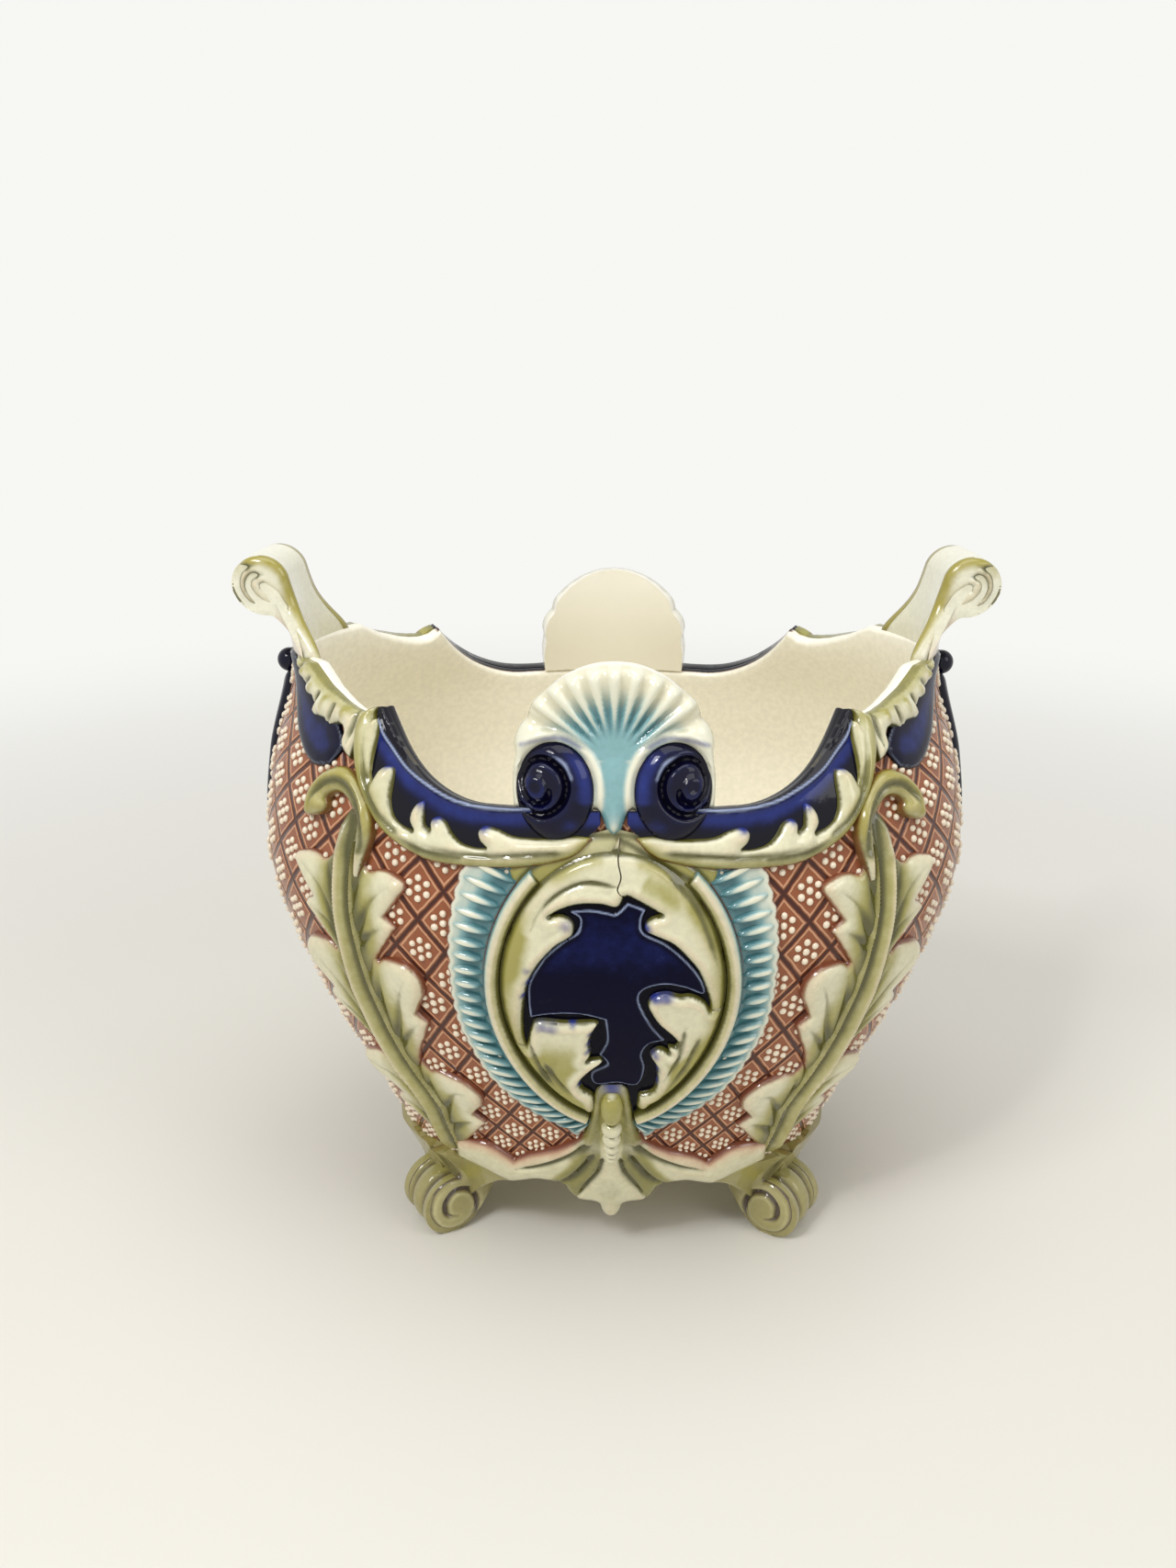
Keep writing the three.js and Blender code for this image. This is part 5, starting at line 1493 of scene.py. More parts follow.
def medallion_leaf(*lines):
    """One leaf between the panel and the ring; it laps over the panel's edge."""
    panel = np.concatenate([curve(line) for line in PANEL_EDGES])
    borders = [oval_line(0.02, math.pi - 0.2, LEAF_INSET, side) for side in (1, -1)]

    def to_ring(p):
        return np.minimum(*(gap_to(p, border) for border in borders))

    def height(p, d):
        to_panel = gap_to(p, panel)
        h = 2.6 + 2.6 * (1 - fade(to_panel, 1.3)) + 0.8 * bell(to_panel - 2.4, 1.6)
        h -= 2.6 * bell(to_ring(p), 2.1)
        return h + strokes(p, LEAF_GROOVES, 1.0, -1.3, (0.25, 0.45))

    def paint(p, d, h):
        to_panel, beside_ring = gap_to(p, panel), to_ring(p)
        dabs = sum(bell(np.hypot(p[:, 0] - x, p[:, 1] - z), r) for x, z, r in BLUE_DABS)
        low = smooth((136 - p[:, 1]) / 20)
        below_top = 0.2 + 0.8 * smooth((192 - p[:, 1]) / 14)
        brushed = 0.7 * strokes(p, OLIVE_BRUSHED, 5.0) + 0.85 * low * smooth((to_panel - 2.5) / 5)
        pooled = 0.75 * strokes(p, LEAF_GROOVES, 1.2) + 0.45 * low * smooth((to_panel - 9) / 6)
        return {
            "olive": 0.85 * bell(beside_ring, 6.0) * below_top + brushed,
            "moss": 0.95 * bell(beside_ring, 1.7) + pooled,
            "blue": 0.95 * dabs * fade(to_panel, 5),
        }

    return sprig(face_sheet, ring_of(*lines), height, paint)


LEAF_TOPS_HALF = [(0, 215), (4, 214), (9, 212.6), (16, 210), (24, 206.6), (31, 203.6), (37.5, 198.6, 1),
                  (33, 188), (25, 195), (14, 202), (0, 205)]
CENTRE_SPLIT = [(3.75, 190.5, 1), (1.4, 193.5), (2.6, 198), (1.6, 204), (2.2, 212)]


def medallion_leaves():
    """Upper pair in one piece, then the two lower leaves."""
    split, gap = curve(CENTRE_SPLIT), (0.25, 0)
    upper_right = medallion_leaf(
        curve(PANEL_RIGHT), oval_line(1.672, 0.06, LEAF_INSET), split[::-1] + gap)
    upper_left = medallion_leaf(
        curve(PANEL_LEFT), split - gap, oval_line(0.02, 1.94, LEAF_INSET, -1))
    lower_right = medallion_leaf(curve(PANEL_RIGHT_LOW), oval_line(math.pi - 0.25, 1.676, LEAF_INSET))
    lower_left = medallion_leaf(curve(PANEL_LEFT_LOW), oval_line(1.95, math.pi - 0.2, LEAF_INSET, -1))
    return joined(upper_right, upper_left, leaf_tops()), lower_right, lower_left


def leaf_tops():
    """Low ends of the upper leaves, which run in under the volutes and the crest."""
    half = curve(LEAF_TOPS_HALF)
    oval_top = np.concatenate([oval_line(0.0, 0.9, 0, s) for s in (1, -1)])

    def height(p, d):
        return swell(d, 2.4, 1.6, 1.2) - 0.8 * bell(gap_to(p, oval_top), 1.2)

    def paint(p, d, h):
        groove = bell(gap_to(p, oval_top), 1.6)
        return {"olive": 0.5 + 0.4 * smooth((np.abs(p[:, 0]) - 8) / 8), "moss": 0.8 * groove}

    return sprig(face_sheet, both_halves(half), height, paint)


# ------------------------------------------------------------------ apron and bead drop
APRON_HALF = [
    (0, 104), (3.5, 103.5), (6.3, 100), (7.6, 92), (9.2, 82), (11, 74), (14, 68.5), (19, 64.5),
    (24.4, 61.3), (30, 59), (35.6, 56), (40.8, 51.4, 1), (44.6, 54.6), (49, 58), (54, 59.4), (60, 59),
    (66, 57.5, 1), (66, 46, 1), (54, 42), (48, 39), (42, 36.8, 1), (36, 39.5), (30.4, 41.6),
    (22.9, 40.8, 1), (20.5, 39.5), (19.1, 36.6), (17, 32.5), (14.6, 30.4), (11, 29.4, 1), (8, 29),
    (5.6, 27.5), (4.6, 24), (3.2, 21), (0, 19.4)]
WING_GROOVES = [
    [(3.5, 62), (5.2, 52), (10.5, 42), (14.8, 32)], [(7, 64), (12, 54), (17.5, 46), (23.4, 41.6)],
    [(8, 70), (18, 60), (30, 52.5), (40, 48)],
]
# Top, foot and radius of each bead.
BEADS = [(101, 84.6, 4.5), (84.4, 77.6, 4.2), (77.4, 71.4, 3.9), (71.2, 66.6, 3.4), (66.4, 63.6, 2.9),
         (63.4, 60.4, 2.5)]


def apron_shape():
    """Palmette between the feet, with two arms that hold the beads."""
    ring = both_halves(curve(APRON_HALF))
    grooves = [line for g in WING_GROOVES for line in (g, flipped(g))]
    upper = np.concatenate([curve(s(APRON_HALF[5:17])) for s in (list, flipped)])

    def height(p, d):
        z = p[:, 1]
        x = np.abs(p[:, 0])
        lobes = 0.7 * bell(x, 3.2) * smooth((60 - z) / 12)
        arms = 2.2 * bell(x - np.interp(z, [60, 80, 100], [11, 7.6, 5.6]), 1.7)
        dish = -1.6 * bell(x, 5) * smooth((z - 62) / 6)
        h = swell(d, 5.2, 1.8, 1.6) + strokes(p, grooves, 1.1, -2.0, (0.1, 0.2)) + lobes
        return h + (arms + dish) * smooth((z - 66) / 8)

    def paint(p, d, h):
        z = p[:, 1]
        x = np.abs(p[:, 0])
        wing = smooth((x - np.interp(z, [32, 42, 52, 62], [14.5, 10.5, 5.2, 3.5])) / 1.5)
        wing = wing * smooth((np.interp(z, [41, 46, 54, 64], [23.6, 17.5, 12, 7]) + 9 - x) / 6)
        heart = bell(x, 6) * bell(z - 40, 9)
        far = gap_to(p, upper)
        return {
            "olive": 0.85 * wing * smooth((68 - z) / 8) + 0.5 * smooth((z - 66) / 8) + 0.25,
            "moss": 0.3 * heart + 0.75 * strokes(p, grooves, 1.4) + 0.45 * wing,
            "blue": 0.8 * bell(np.hypot(x, z - 103), 5.5),
            "blush": 0.95 * fade(far, 2.6) * smooth((x - 12) / 6),
            "rust": fade(far, 0.8) * smooth((x - 9) / 4),
        }

    def seat(p):
        return np.where(p[:, 1] < BODY_FOOT_Z + 1, -5.0, -1.5)

    return sprig(face_sheet, ring, height, paint, seat=seat, backed=True)


def bead_drop_shape():
    """One long bead over five small ones, turned about a line that hangs down the apron."""
    z = np.linspace(100, 59.8, 150)
    radius = np.full(len(z), 0.9)
    for top, foot, r in BEADS:
        s = np.clip((z - foot) / (top - foot) * 2 - 1, -1, 1)
        radius = np.maximum(radius, r * (1 - np.abs(s) ** 2.4) ** (1 / 2.4))
    sides = 28
    a = 2 * math.pi * np.arange(sides) / sides
    spine = face_sheet(np.zeros(len(z)), z, np.full(len(z), 4.8))
    normal = wall_normal(np.zeros(len(z)), z)
    across = np.array([1.0, 0, 0])
    rings = (spine[:, None] + radius[:, None, None] * (
        np.cos(a)[None, :, None] * across - np.sin(a)[None, :, None] * normal[:, None]))
    level = np.convolve(np.pad(radius, 6, mode="edge"), np.ones(13) / 13, "valid")
    return swept(rings, {
        "pool": np.repeat(np.clip((level - radius) / 0.8, -0.3, 1), sides),
        "olive": np.repeat(0.85 * smooth((z - 80) / 8), sides),
    })


# ------------------------------------------------------------------ ends
ROCAILLE_LOW = degrees([
    (53.2, 228.5), (55, 229.8), (56.6, 232.4), (57, 236, 1), (58.4, 238.6), (60.4, 238.2),
    (61.8, 236.4), (62.6, 235.2, 1), (63.2, 238.4), (65.4, 238.6), (66.8, 238.4), (68.2, 239.6, 1),
    (68.4, 242.6), (69.4, 244.6), (71.2, 245), (72.6, 245.8, 1), (73, 248.6), (74.6, 250.8),
    (75.8, 250.9, 1), (76.6, 253.6), (77.8, 256), (78.6, 257.4, 1)])
END_FIELD_LOW = degrees([(57.5, 224.6), (60.9, 222.8), (63.6, 223.6), (66.3, 225.9), (70.1, 230.3),
                         (73.4, 235.5), (76, 240.6), (79, 247), (82, 252.4), (86.3, 257)])
END_FIELD_HIGH = degrees([(86.3, 257.3), (80, 257), (74, 252), (66, 243), (60, 239), (56, 232)])


def rocaille_shape():
    """Scalloped edge from the corner to the handle."""
    ring = ring_of(curve(ROCAILLE_LOW), rim_edge(78.4, 53.4))
    flutes = [degrees(f) for f in (
        [(55, 246), (54.8, 238), (55.2, 232)], [(61, 246.5), (61.6, 241), (62.4, 236.6)],
        [(66, 249), (67, 245), (68, 240.8)], [(70, 253), (71.6, 250), (72.4, 247)],
        [(74, 256.6), (75, 254.6), (75.8, 252)])]
    ridges = [degrees(r) for r in (
        [(58, 246.5), (58.2, 242), (58.6, 239)], [(64, 248), (64.4, 243), (65, 239.4)],
        [(69, 251), (69.8, 247.6), (70.6, 245.6)], [(73, 255), (73.8, 252.6), (74.4, 251)])]

    def height(p, d):
        h = swell(d, 5.0, 1.8, 1.6) + strokes(p, flutes, 1.2, -1.5, (0.3, 0.05))
        return h + strokes(p, ridges, 1.6, 0.8, (0.3, 0.1))

    def paint(p, d, h):
        from_rim = rim_z(p[:, 0] / ARC) - p[:, 1]
        return {"olive": 0.5 * strokes(p, ridges, 1.8) + 0.62 * bell(from_rim - 1.5, 2.8),
                "moss": 0.75 * strokes(p, flutes, 1.4) + 0.5 * fade(d, 0.8) * smooth((from_rim - 3) / 2)}

    return sprig(round_sheet, ring, height, paint)


def end_field_shape():
    """Dark field under the scalloped edge."""
    ring = ring_of(curve(END_FIELD_LOW), curve(END_FIELD_HIGH))

    def paint(p, d, h):
        # The light line near the edge is a painted highlight.
        return {"ink": 0.7 * fade(d, 1.2), "blue": 0.4 * smooth((d - 2) / 5),
                "light": 0.4 * bell(d - 0.6, 0.5)}

    return sprig(round_sheet, ring, lambda p, d: swell(d, 2.6, 1.2, 1.0), paint)


def end_strap_shape():
    """Ribbed strap down the middle of the end, under a round knob."""
    middle = 90 * ARC
    z = np.linspace(246, 122, 60)
    half = 3.1 * ARC * np.sin(math.pi * np.linspace(0.33, 0.93, 60))
    ring = ring_of(np.stack([middle - half, z], -1), np.stack([middle + half, z], -1)[::-1])

    def height(p, d):
        x = np.abs(p[:, 0] - middle)
        return swell(d, 4.2, 1.8, 1.0) - 1.0 * bell(x - 2.6, 0.9) * smooth(d / 2)

    def paint(p, d, h):
        # The light line down the middle is a painted highlight.
        return {"ink": 0.5 * fade(d, 1.4), "light": 0.35 * bell(p[:, 0] - middle, 1.0)}

    strap = sprig(round_sheet, ring, height, paint)
    at = on_wall(np.array([90.0]), np.array([249.5]), np.array([2.8]))[0]
    a = np.linspace(0, math.pi, 18)[1:-1]
    b = 2 * math.pi * np.arange(24) / 24
    ball = np.stack([
        np.sin(a)[:, None] * np.cos(b), np.sin(a)[:, None] * np.sin(b), np.cos(a)[:, None] + 0 * b], -1)
    return joined(strap, swept(at + 5.2 * ball[::-1]))


# ------------------------------------------------------------------ rolled handles
# Middle and radius of the roll, its half length, and that of the tongue under it.
ROLL = {"x": 146.5, "z": 285.0, "r": 12.0, "half": 20.0, "tongue": 34.0}


def handle_profile(count=96):
    """Section of the handle in x and z: up the inner face, over the roll, back under it."""
    arc = np.linspace(math.radians(-96), math.radians(158), 60)
    roll = np.stack([ROLL["x"] + ROLL["r"] * np.cos(arc), ROLL["z"] + ROLL["r"] * np.sin(arc)], -1)
    under = curve([(137.9, 256.5), (138.3, 262), (140, 268), (143, 272), roll[0]])
    inner = curve([roll[-1], (133.2, 281), (131.6, 272), (130.8, 264), (130.6, 256.5)])
    return evenly(np.concatenate([under[:-1], roll, inner[1:]]), count)


def tongue_half(z):
    """Half length of the handle at a height."""
    return ROLL["tongue"] + (ROLL["half"] - ROLL["tongue"]) * smooth((z - NECK_Z + 8) / 31)


def end_reach(y, z):
    """How far the end of the wall stands out beside its middle."""
    end, front, power = (station(k, z) for k in (1, 2, 3))
    return end * (1 - np.abs(y / front) ** power) ** (1 / power)


def on_handle(x, y, z):
    """A point of the handle's straight section bent with the curve of the wall."""
    bend = end_reach(0 * y, z) - end_reach(y, z)
    return np.stack([x - bend * (1 - 0.8 * smooth((z - NECK_Z) / (ROLL["z"] - NECK_Z))), y, z], -1)


def handle_shape():
    """Rolled handle with a teardrop face at either end, grooved like a leaf."""
    profile = handle_profile()
    drop = 2.4
    rows = np.linspace(-1, 1, 48)
    x, z = profile.T
    body = np.stack([on_handle(x, f * (tongue_half(z) - drop), z) for f in rows])
    n = len(profile)
    way = np.arange(n) / n
    stripe = bell(np.abs(rows) - 0.95, 0.07)
    skin = swept(body[::-1], {
        "olive": np.outer(0.8 * stripe, smooth((way - 0.36) / 0.1)),
        "blush": np.tile(0.45 * (way < 0.16), (len(rows), 1)),
    })
    ring = ring_of(profile)
    commas = [
        [(138.6, 261), (141, 268), (146.5, 274.5), (153, 278), (156, 285), (154, 291.4), (148.4, 293.4)],
        [(139, 268), (143.4, 275), (149, 279.4), (151.6, 285), (149.8, 289), (145.4, 289.6)],
        [(137.6, 275), (140.6, 281), (144.4, 284.6), (146.8, 286)],
    ]

    def cap_sheet(side):
        def sheet(u, v, h):
            y = side * (tongue_half(v) - drop + h)
            return on_handle(u, y, v)
        return sheet

    def height(p, d):
        return drop * (1 - fade(d, 1.8)) + strokes(p, commas, 1.5, -2.4, (0.1, 0.12))

    def paint(p, d, h):
        inward = smooth((ROLL["x"] - p[:, 0] + 0.6 * (p[:, 1] - ROLL["z"]) + 6) / 8)
        drawn = strokes(p, commas, 1.6, 1.0, (0.05, 0.08))
        return {
            "olive": 0.85 * bell(d - 0.8, 3.4) * inward + 0.3 * strokes(p, commas, 3.4),
            "moss": 1.2 * drawn + 0.8 * (1 - inward) * fade(d, 1.2),
            "blush": 0.35 * bell(np.hypot(*(p - (140, 262)).T), 5),
        }

    caps = []
    for side in (-1, 1):
        cap = sprig(cap_sheet(side), ring, height, paint, step=0.8, seat=-3)
        if side == 1:
            cap.faces = cap.faces[:, ::-1]
        caps.append(cap)
    return joined(skin, *caps)


# ------------------------------------------------------------------ scroll feet
# Azimuth, then the roll's distance from the middle, height, radius and half length.
FOOT = {"az": 57.0, "rho": 90.5, "z": 13.5, "r": 14.2, "half": 14.0}
FOOT_BAND = 10.4  # width of the middle one of its three bands


def on_foot(rho, z, along):
    """Distance from the middle of the pot, height, and mm along the roll."""
    a = math.radians(FOOT["az"])
    return np.stack([
        rho * math.sin(a) - along * math.cos(a), -rho * math.cos(a) - along * math.sin(a), z + 0 * rho], -1)


def foot_profile(count=90):
    """Section of the foot in distance from the middle and height."""
    arc = np.linspace(math.radians(-100), math.radians(100), 50)
    roll = np.stack([FOOT["rho"] + FOOT["r"] * np.cos(arc), FOOT["z"] + FOOT["r"] * np.sin(arc)], -1)
    outer = curve([roll[-1], (89.5, 32), (93, 37.5), (99, 44)])
    inner = curve([(62, 44), (66, 30), (72, 16), (79, 6), (85, 1.2), roll[0]])
    line = np.concatenate([inner[:-1], roll, outer[1:]])
    line[:, 1] = np.maximum(line[:, 1], 0.0)
    return evenly(line, count)


FOOT_SPIRAL = [(92, 30), (101, 24), (103.6, 13.5), (99, 4.5), (90.5, 1.6), (82.5, 5.5), (80.6, 13),
               (84, 20), (91, 22), (96, 17.5), (95.5, 11), (90.5, 8.6)]


def foot_shape():
    """Rolled foot of three bands with a scroll on either end, and the webs beside it."""
    profile = foot_profile()
    ring = ring_of(profile)
    drop = 2.6
    rows = np.linspace(-1, 1, 64)
    along = rows * (FOOT["half"] - drop)
    x, z = profile.T
    around = smooth((x - 76) / 12)  # 0 inside the foot, 1 on the roll
    dents = sum(bell(along - s * FOOT_BAND / 2, 1.1) for s in (-1, 1))
    puff = 0.5 * np.cos(2 * math.pi * along / FOOT_BAND)
    way = profile - (FOOT["rho"], FOOT["z"])
    way /= np.maximum(np.linalg.norm(way, axis=1), 1e-6)[:, None]
    sunk = way * (around * smooth(z / 4.0))[:, None]
    skin_rows = []
    for a, pinch in zip(along, 1.9 * dents - puff):
        q = profile - pinch * sunk
        skin_rows.append(on_foot(q[:, 0], np.maximum(q[:, 1], 0), a))
    skin = swept(np.array(skin_rows), {
        "umber": np.outer(0.75 * dents, around),
        "olive": np.tile(0.5 * smooth((z - 18) / 12), (len(rows), 1)),
    })

    def cap(side):
        def sheet(u, v, h):
            return on_foot(u, v, side * (FOOT["half"] - drop + h))

        def height(p, d):
            groove = stroke(p, FOOT_SPIRAL, 1.3, -2.4, (0.1, 0.1))
            far = np.hypot(p[:, 0] - FOOT["rho"], p[:, 1] - FOOT["z"])
            bowl = -1.0 * smooth((far - FOOT["r"]) / 6)
            return drop * (1 - fade(d, 1.7)) + groove * smooth(d / 1.0) + bowl

        def paint(p, d, h):
            x, z = p.T
            return {
                "umber": 0.95 * stroke(p, FOOT_SPIRAL, 1.5, 1.0, (0.1, 0.1)),
                "blue": 0.6 * bell(np.hypot(x - 82, z - 8), 2.2),
                "olive": 0.4 * smooth((z - 24) / 8),
            }

        made = sprig(sheet, ring, height, paint, step=0.8, seat=-4)
        if side < 0:
            made.faces = made.faces[:, ::-1]
        return made

    return joined(skin, cap(1), cap(-1), *foot_webs())


def foot_webs():
    """Hollow webs that run from the foot up to the aprons and round to the end."""
    webs = []
    for sheet, arch, top in (
        (face_sheet, [(42, 37), (47, 35.6), (52, 31.5), (58, 23.5), (63.5, 14), (69, 4)],
         [(78, 4), (80, 20), (80, 44), (42, 44)]),
        (round_sheet, degrees([(84, 38.5), (78, 33), (72, 22.5), (67, 12), (62.5, 4)]),
         degrees([(57, 4), (56, 20), (56, 44), (84, 44)])),
    ):
        edge = curve(arch)
        ring = ring_of(edge, curve([(*q, 1) for q in top], 2.0))

        def height(p, d, edge=edge):
            far = gap_to(p, edge)
            edge_bead = 2.4 * fade(far, 2.6) - 1.2 * fade(far, 0.5)
            return 1.2 + edge_bead + 2.2 * smooth((far - 9) / 12)

        def paint(p, d, h, edge=edge):
            far = gap_to(p, edge)
            return {"olive": 0.75 * bell(far - 9, 5), "pool": np.zeros(len(p))}

        webs.append(sprig(sheet, ring, height, paint, seat=-3.5, backed=True))
    return webs


# ------------------------------------------------------------------ sizes and colours to change
def mm_size(label, about, default, low=0.0, high=0.1):
    return FloatProperty(name=label, description=about, default=default * MM, min=low, max=high,
                         subtype="DISTANCE", unit="LENGTH", precision=5)


def glaze_colour(label, about, red, green, blue):
    return FloatVectorProperty(name=label, description=about, size=3, min=0.0, max=1.0,
                               subtype="COLOR_GAMMA", default=(red / 255, green / 255, blue / 255))


class JardiniereSizes(bpy.types.PropertyGroup):
    """Sizes of the ornament that do not change the body."""

    dot_size: mm_size("Dot size", "Width of one dot of a floret", 3.1)
    dot_rise: mm_size("Dot rise", "Full thickness of a dot, half of it in the wall", 2.2)
    petal_ring: mm_size("Petal ring", "Radius of the ring of dots round the middle one", 4.05)
    petals: IntProperty(name="Petals", description="Dots round the middle one", default=6, min=3, max=12)
    flute_spread: FloatProperty(
        name="Flute spread", description="Angle between two flutes of the shell crest, in degrees",
        default=13.0, min=6.0, max=40.0)
    frill_ribs: IntProperty(
        name="Frill ribs", description="Ribs along one side of the medallion", default=24, min=8, max=40)


class JardiniereColours(bpy.types.PropertyGroup):
    """Colours of the glazes as they look on the pot."""

    clay: glaze_colour("Brown", "Lattice ground", 148, 86, 54)
    clay_light: glaze_colour("Light brown", "Brown where it runs thin on a ridge", 206, 154, 118)
    groove: glaze_colour("Groove brown", "Brown pooled in the grooves", 72, 32, 20)
    dot: glaze_colour("Dot white", "Dots of the florets", 240, 226, 202)
    interior: glaze_colour("Interior", "Cream glaze inside the bowl", 252, 247, 230)
    shade: glaze_colour("Pooled cream", "Cream glaze pooled at the floor", 214, 203, 168)
    cream: glaze_colour("Cream", "Cream on edges and handles", 232, 230, 208)
    blush: glaze_colour("Blush", "Warm body showing through thin pale glaze", 222, 210, 178)
    pale: glaze_colour("Pale green", "Ground of the leaves", 222, 218, 186)
    olive: glaze_colour("Olive", "Yellow green washes", 160, 153, 76)
    gold: glaze_colour("Gold", "Strongest yellow green, on handles and stem heads", 158, 146, 52)
    moss: glaze_colour("Moss", "Dark green pooled beside stems and veins", 84, 82, 32)
    foot: glaze_colour("Foot green", "Ground of the feet and webs", 160, 151, 98)
    foot_light: glaze_colour("Light foot green", "Foot glaze where it runs thin", 192, 184, 134)
    umber: glaze_colour("Umber", "Grooves of the feet", 92, 78, 66)
    rust: glaze_colour("Rust", "Brown that has run against the edge of a relief", 122, 66, 44)
    rose: glaze_colour("Rose", "Pale glaze tinted by the brown beside it", 208, 164, 132)
    navy: glaze_colour("Navy", "Dark blue glaze", 4, 4, 34)
    cobalt: glaze_colour("Cobalt", "Lighter blue where the glaze runs thin", 40, 54, 132)
    # Pale blue of the painted highlights along raised navy edges.
    ink: glaze_colour("Ink", "Nearly black pooled blue", 7, 6, 20)
    painted_highlight_blue: glaze_colour("Sky", "Pale blue lines on raised edges", 176, 190, 224)
    teal: glaze_colour("Teal", "Frill and shell", 128, 172, 176)
    lagoon: glaze_colour("Deep teal", "Teal pooled in the hollows", 48, 104, 112)
    crack: glaze_colour("Crack", "Fine cracks in the glaze", 150, 132, 104)
    floor: glaze_colour("Floor", "Floor under the pot", 230, 227, 219)
    backdrop: glaze_colour("Backdrop", "Everything behind the pot", 247, 247, 244)


def sizes():
    return bpy.context.scene.jardiniere_sizes


# ------------------------------------------------------------------ operators
class JARDINIERE_OT_body(bpy.types.Operator):
    """Wall with its scrolled rim and lattice ground, and the floor of the bowl"""

    bl_idname = "jardiniere.body"
    bl_label = "Body wall and floor"

    def execute(self, context):
        nodes = ["wall_front", "wall_back", "wall_left", "wall_right", "bowl_floor"]
        piece("body_wall", body_shape(), wall_glaze(), nodes, crease=70)
        return {"FINISHED"}


class JARDINIERE_OT_florets(bpy.types.Operator):
    """White dots in every lattice cell"""

    bl_idname = "jardiniere.florets"
    bl_label = "Lattice florets"

    def execute(self, context):
        material = glaze("Dot glaze", "dot", "dot", "clay_light", mottle=0.3)
        given = {"Petals": sizes().petals, "Dot Size": sizes().dot_size,
                 "Ring Radius": sizes().petal_ring, "Rise": sizes().dot_rise}
        florets = stamped("lattice_florets", floret_places(), floret_tree(), material, given)
        fitted(florets)
        return {"FINISHED"}


class JARDINIERE_OT_crests(bpy.types.Operator):
    """Shell crests over the two long faces"""

    bl_idname = "jardiniere.crests"
    bl_label = "Shell crests"

    def execute(self, context):
        pair("shell_crest", crest_shape(), teal_glaze())
        return {"FINISHED"}


class JARDINIERE_OT_rim(bpy.types.Operator):
    """Volutes, dark rim bands and the toothed leaves under them"""

    bl_idname = "jardiniere.rim"
    bl_label = "Rim scrolls"

    def execute(self, context):
        four("volute", volute_shape(), navy_glaze())
        four("rim_band", rim_band_shape(), navy_glaze())
        four("rim_leaf", rim_leaf_shape(), pale_glaze())
        return {"FINISHED"}


class JARDINIERE_OT_stems(bpy.types.Operator):
    """Leafy stems on the four corners"""

    bl_idname = "jardiniere.stems"
    bl_label = "Corner stems"

    def execute(self, context):
        four("corner_stem", corner_stem_shape(), pale_glaze())
        return {"FINISHED"}


class JARDINIERE_OT_medallions(bpy.types.Operator):
    """Oval medallions: ring, ribbed frill, leaves and the dark panel between them"""

    bl_idname = "jardiniere.medallions"
    bl_label = "Medallions"

    def execute(self, context):
        ring = medallion_ring_shape()
        pair("medallion_ring_right", ring, pale_glaze())
        pair("medallion_ring_left", ring.turned(mirror=True), pale_glaze())
        four("medallion_frill", frill_shape(), teal_glaze())
        upper, lower_right, lower_left = medallion_leaves()
        pair("medallion_upper_leaves", upper, pale_glaze())
        pair("medallion_lower_leaf_right", lower_right, pale_glaze())
        pair("medallion_lower_leaf_left", lower_left, pale_glaze())
        pair("medallion_panel", medallion_panel_shape(), panel_glaze())
        return {"FINISHED"}


class JARDINIERE_OT_aprons(bpy.types.Operator):
    """Palmette aprons with their drops of beads"""

    bl_idname = "jardiniere.aprons"
    bl_label = "Aprons and bead drops"

    def execute(self, context):
        pair("apron_palmette", apron_shape(), pale_glaze())
        pair("bead_drop", bead_drop_shape(), pale_glaze())
        return {"FINISHED"}


class JARDINIERE_OT_ends(bpy.types.Operator):
    """Scalloped rocaille, dark fields and straps of the two ends"""

    bl_idname = "jardiniere.ends"
    bl_label = "End scrolls and straps"

    def execute(self, context):
        four("end_rocaille", rocaille_shape(), pale_glaze())
        four("end_field", end_field_shape(), navy_glaze())
        pair("end_strap", end_strap_shape(), navy_glaze(), ("right", "left"))
        return {"FINISHED"}


class JARDINIERE_OT_handles(bpy.types.Operator):
    """Rolled handles over the two ends"""

    bl_idname = "jardiniere.handles"
    bl_label = "Rolled handles"

    def execute(self, context):
        pair("handle", handle_shape(), cream_glaze(), ("right", "left"))
        return {"FINISHED"}


class JARDINIERE_OT_feet(bpy.types.Operator):
    """Four scroll feet and their webs"""

    bl_idname = "jardiniere.feet"
    bl_label = "Scroll feet"

    def execute(self, context):
        four("foot", foot_shape(), foot_glaze())
        return {"FINISHED"}


class JARDINIERE_OT_stage(bpy.types.Operator):
    """Pale floor, soft lights and the camera"""

    bl_idname = "jardiniere.stage"
    bl_label = "Floor, lights and camera"

    def execute(self, context):
        make_floor()
        make_world()
        for lamp in LAMPS:
            make_lamp(*lamp)
        make_camera()
        context.scene.view_settings.view_transform = "Standard"
        return {"FINISHED"}


class JARDINIERE_PT_panel(bpy.types.Panel):
    """Lists the sizes, the colours and the pieces"""

    bl_idname = "JARDINIERE_PT_panel"
    bl_label = "Jardiniere"
    bl_space_type = "VIEW_3D"
    bl_region_type = "UI"
    bl_category = "Jardiniere"

    def draw(self, context):
        layout = self.layout
        for group in (context.scene.jardiniere_sizes, context.scene.jardiniere_colours):
            column = layout.column(align=True)
            for name in type(group).__annotations__:
                column.prop(group, name)
        for operator in PIECES:
            layout.operator(operator.bl_idname)


PIECES = (
    JARDINIERE_OT_body, JARDINIERE_OT_florets, JARDINIERE_OT_crests, JARDINIERE_OT_rim,
    JARDINIERE_OT_stems, JARDINIERE_OT_medallions, JARDINIERE_OT_aprons, JARDINIERE_OT_ends,
    JARDINIERE_OT_handles, JARDINIERE_OT_feet, JARDINIERE_OT_stage,
)
CLASSES = (JardiniereSizes, JardiniereColours, *PIECES, JARDINIERE_PT_panel)

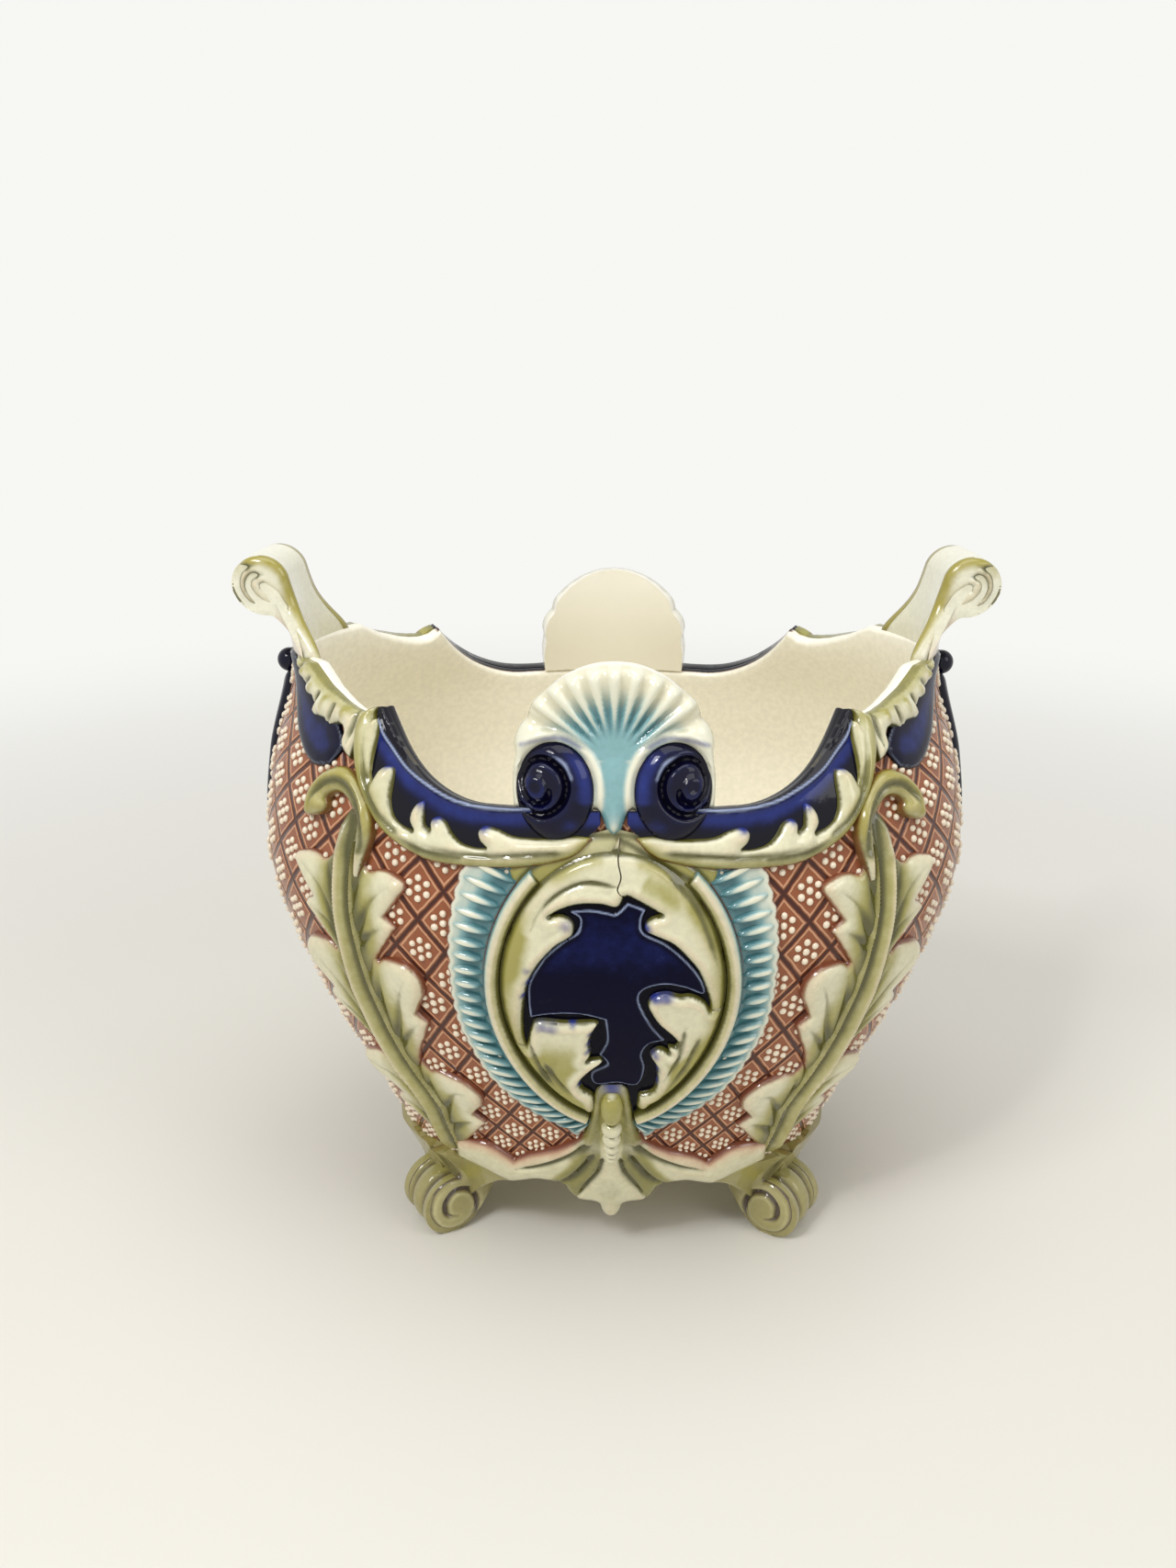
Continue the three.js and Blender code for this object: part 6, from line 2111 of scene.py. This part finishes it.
# ------------------------------------------------------------------ stage
# Place, aim, size of the square in metres and power in watts of each soft lamp.
LAMPS = [
    ((-0.8, -1.0, 1.5), (0, 0, 0.15), 0.5, 11.5),
    ((1.2, -0.9, 1.1), (0, 0, 0.15), 0.8, 5.0),
    ((0.1, -0.2, 1.7), (0, 0, 0.1), 1.2, 9.5),
    ((-0.4, -0.75, 1.0), (0, 0, 0.18), 0.07, 1.4),
]


def make_floor():
    """Wide pale disc under the feet."""
    sides = 96
    a = [2 * math.pi * k / sides for k in range(sides)]
    mesh = bpy.data.meshes.new("floor")
    mesh.from_pydata([(9 * math.cos(t), 9 * math.sin(t), 0) for t in a], [], [tuple(range(sides))])
    material, tree, shader = new_material("Pale floor")
    shader.inputs["Base Color"].default_value = hue("floor")
    shader.inputs["Roughness"].default_value = 0.6
    glow = add_node(tree, "ShaderNodeEmission")
    glow.inputs["Color"].default_value = hue("backdrop")
    apart = add_node(tree, "ShaderNodeVectorMath", operation="LENGTH")
    wire(tree, add_node(tree, "ShaderNodeTexCoord").outputs["Object"], apart.inputs[0])
    mix = add_node(tree, "ShaderNodeMixShader")
    far = between(tree, apart.outputs["Value"], 0.25, 1.3)
    wire(tree, maths(tree, "MULTIPLY", far, seen_directly(tree)), mix.inputs[0])
    wire(tree, shader.outputs[0], mix.inputs[1])
    wire(tree, glow.outputs[0], mix.inputs[2])
    wire(tree, mix.outputs[0], tree.nodes["Material Output"].inputs["Surface"])
    mesh.materials.append(material)
    new_object("floor", mesh)


def seen_directly(tree):
    """1 for what the camera sees, plainly or mirrored in the glaze."""
    seen = add_node(tree, "ShaderNodeLightPath").outputs
    mirrored = maths(tree, "MAXIMUM", seen["Is Glossy Ray"], seen["Is Transmission Ray"])
    return maths(tree, "MAXIMUM", seen["Is Camera Ray"], mirrored)


def make_world():
    """Plain light all round; what the camera and the gloss see is as pale as the floor."""
    world = bpy.data.worlds.new("Soft room")
    bpy.context.scene.world = world
    world.use_nodes = True
    tree = world.node_tree
    ground = tree.nodes["Background"]
    ground.inputs["Color"].default_value = hue("backdrop")
    wire(tree, between(tree, seen_directly(tree), 0.0, 1.0, 0.47, 1.0), ground.inputs["Strength"])


def make_lamp(spot, aim, size, power):
    light = bpy.data.lights.new("soft_lamp", "AREA")
    light.shape = "SQUARE"
    light.size = size
    light.energy = power
    lamp = new_object("soft_lamp", light)
    lamp.location = spot
    lamp.rotation_euler = (Vector(aim) - Vector(spot)).to_track_quat("-Z", "Y").to_euler()


CAMERA = {"place": (-0.00175, -0.5417, 0.3809), "tilt": 70.9, "turn": 1.0, "lens": 29.53}


def make_camera():
    data = bpy.data.cameras.new("camera")
    data.sensor_width = 36.0
    data.lens = CAMERA["lens"]
    data.clip_start, data.clip_end = 0.01, 100.0
    camera = new_object("camera", data)
    camera.location = CAMERA["place"]
    camera.rotation_euler = (math.radians(CAMERA["tilt"]), 0.0, math.radians(CAMERA["turn"]))
    bpy.context.scene.camera = camera


# ------------------------------------------------------------------ registration and build
def register():
    for cls in CLASSES:
        bpy.utils.register_class(cls)
    bpy.types.Scene.jardiniere_sizes = PointerProperty(type=JardiniereSizes)
    bpy.types.Scene.jardiniere_colours = PointerProperty(type=JardiniereColours)


def unregister():
    del bpy.types.Scene.jardiniere_colours
    del bpy.types.Scene.jardiniere_sizes
    for cls in reversed(CLASSES):
        bpy.utils.unregister_class(cls)


def main():
    register()
    for operator in PIECES:
        area, name = operator.bl_idname.split(".")
        getattr(getattr(bpy.ops, area), name)()


if __name__ == "__main__":
    main()
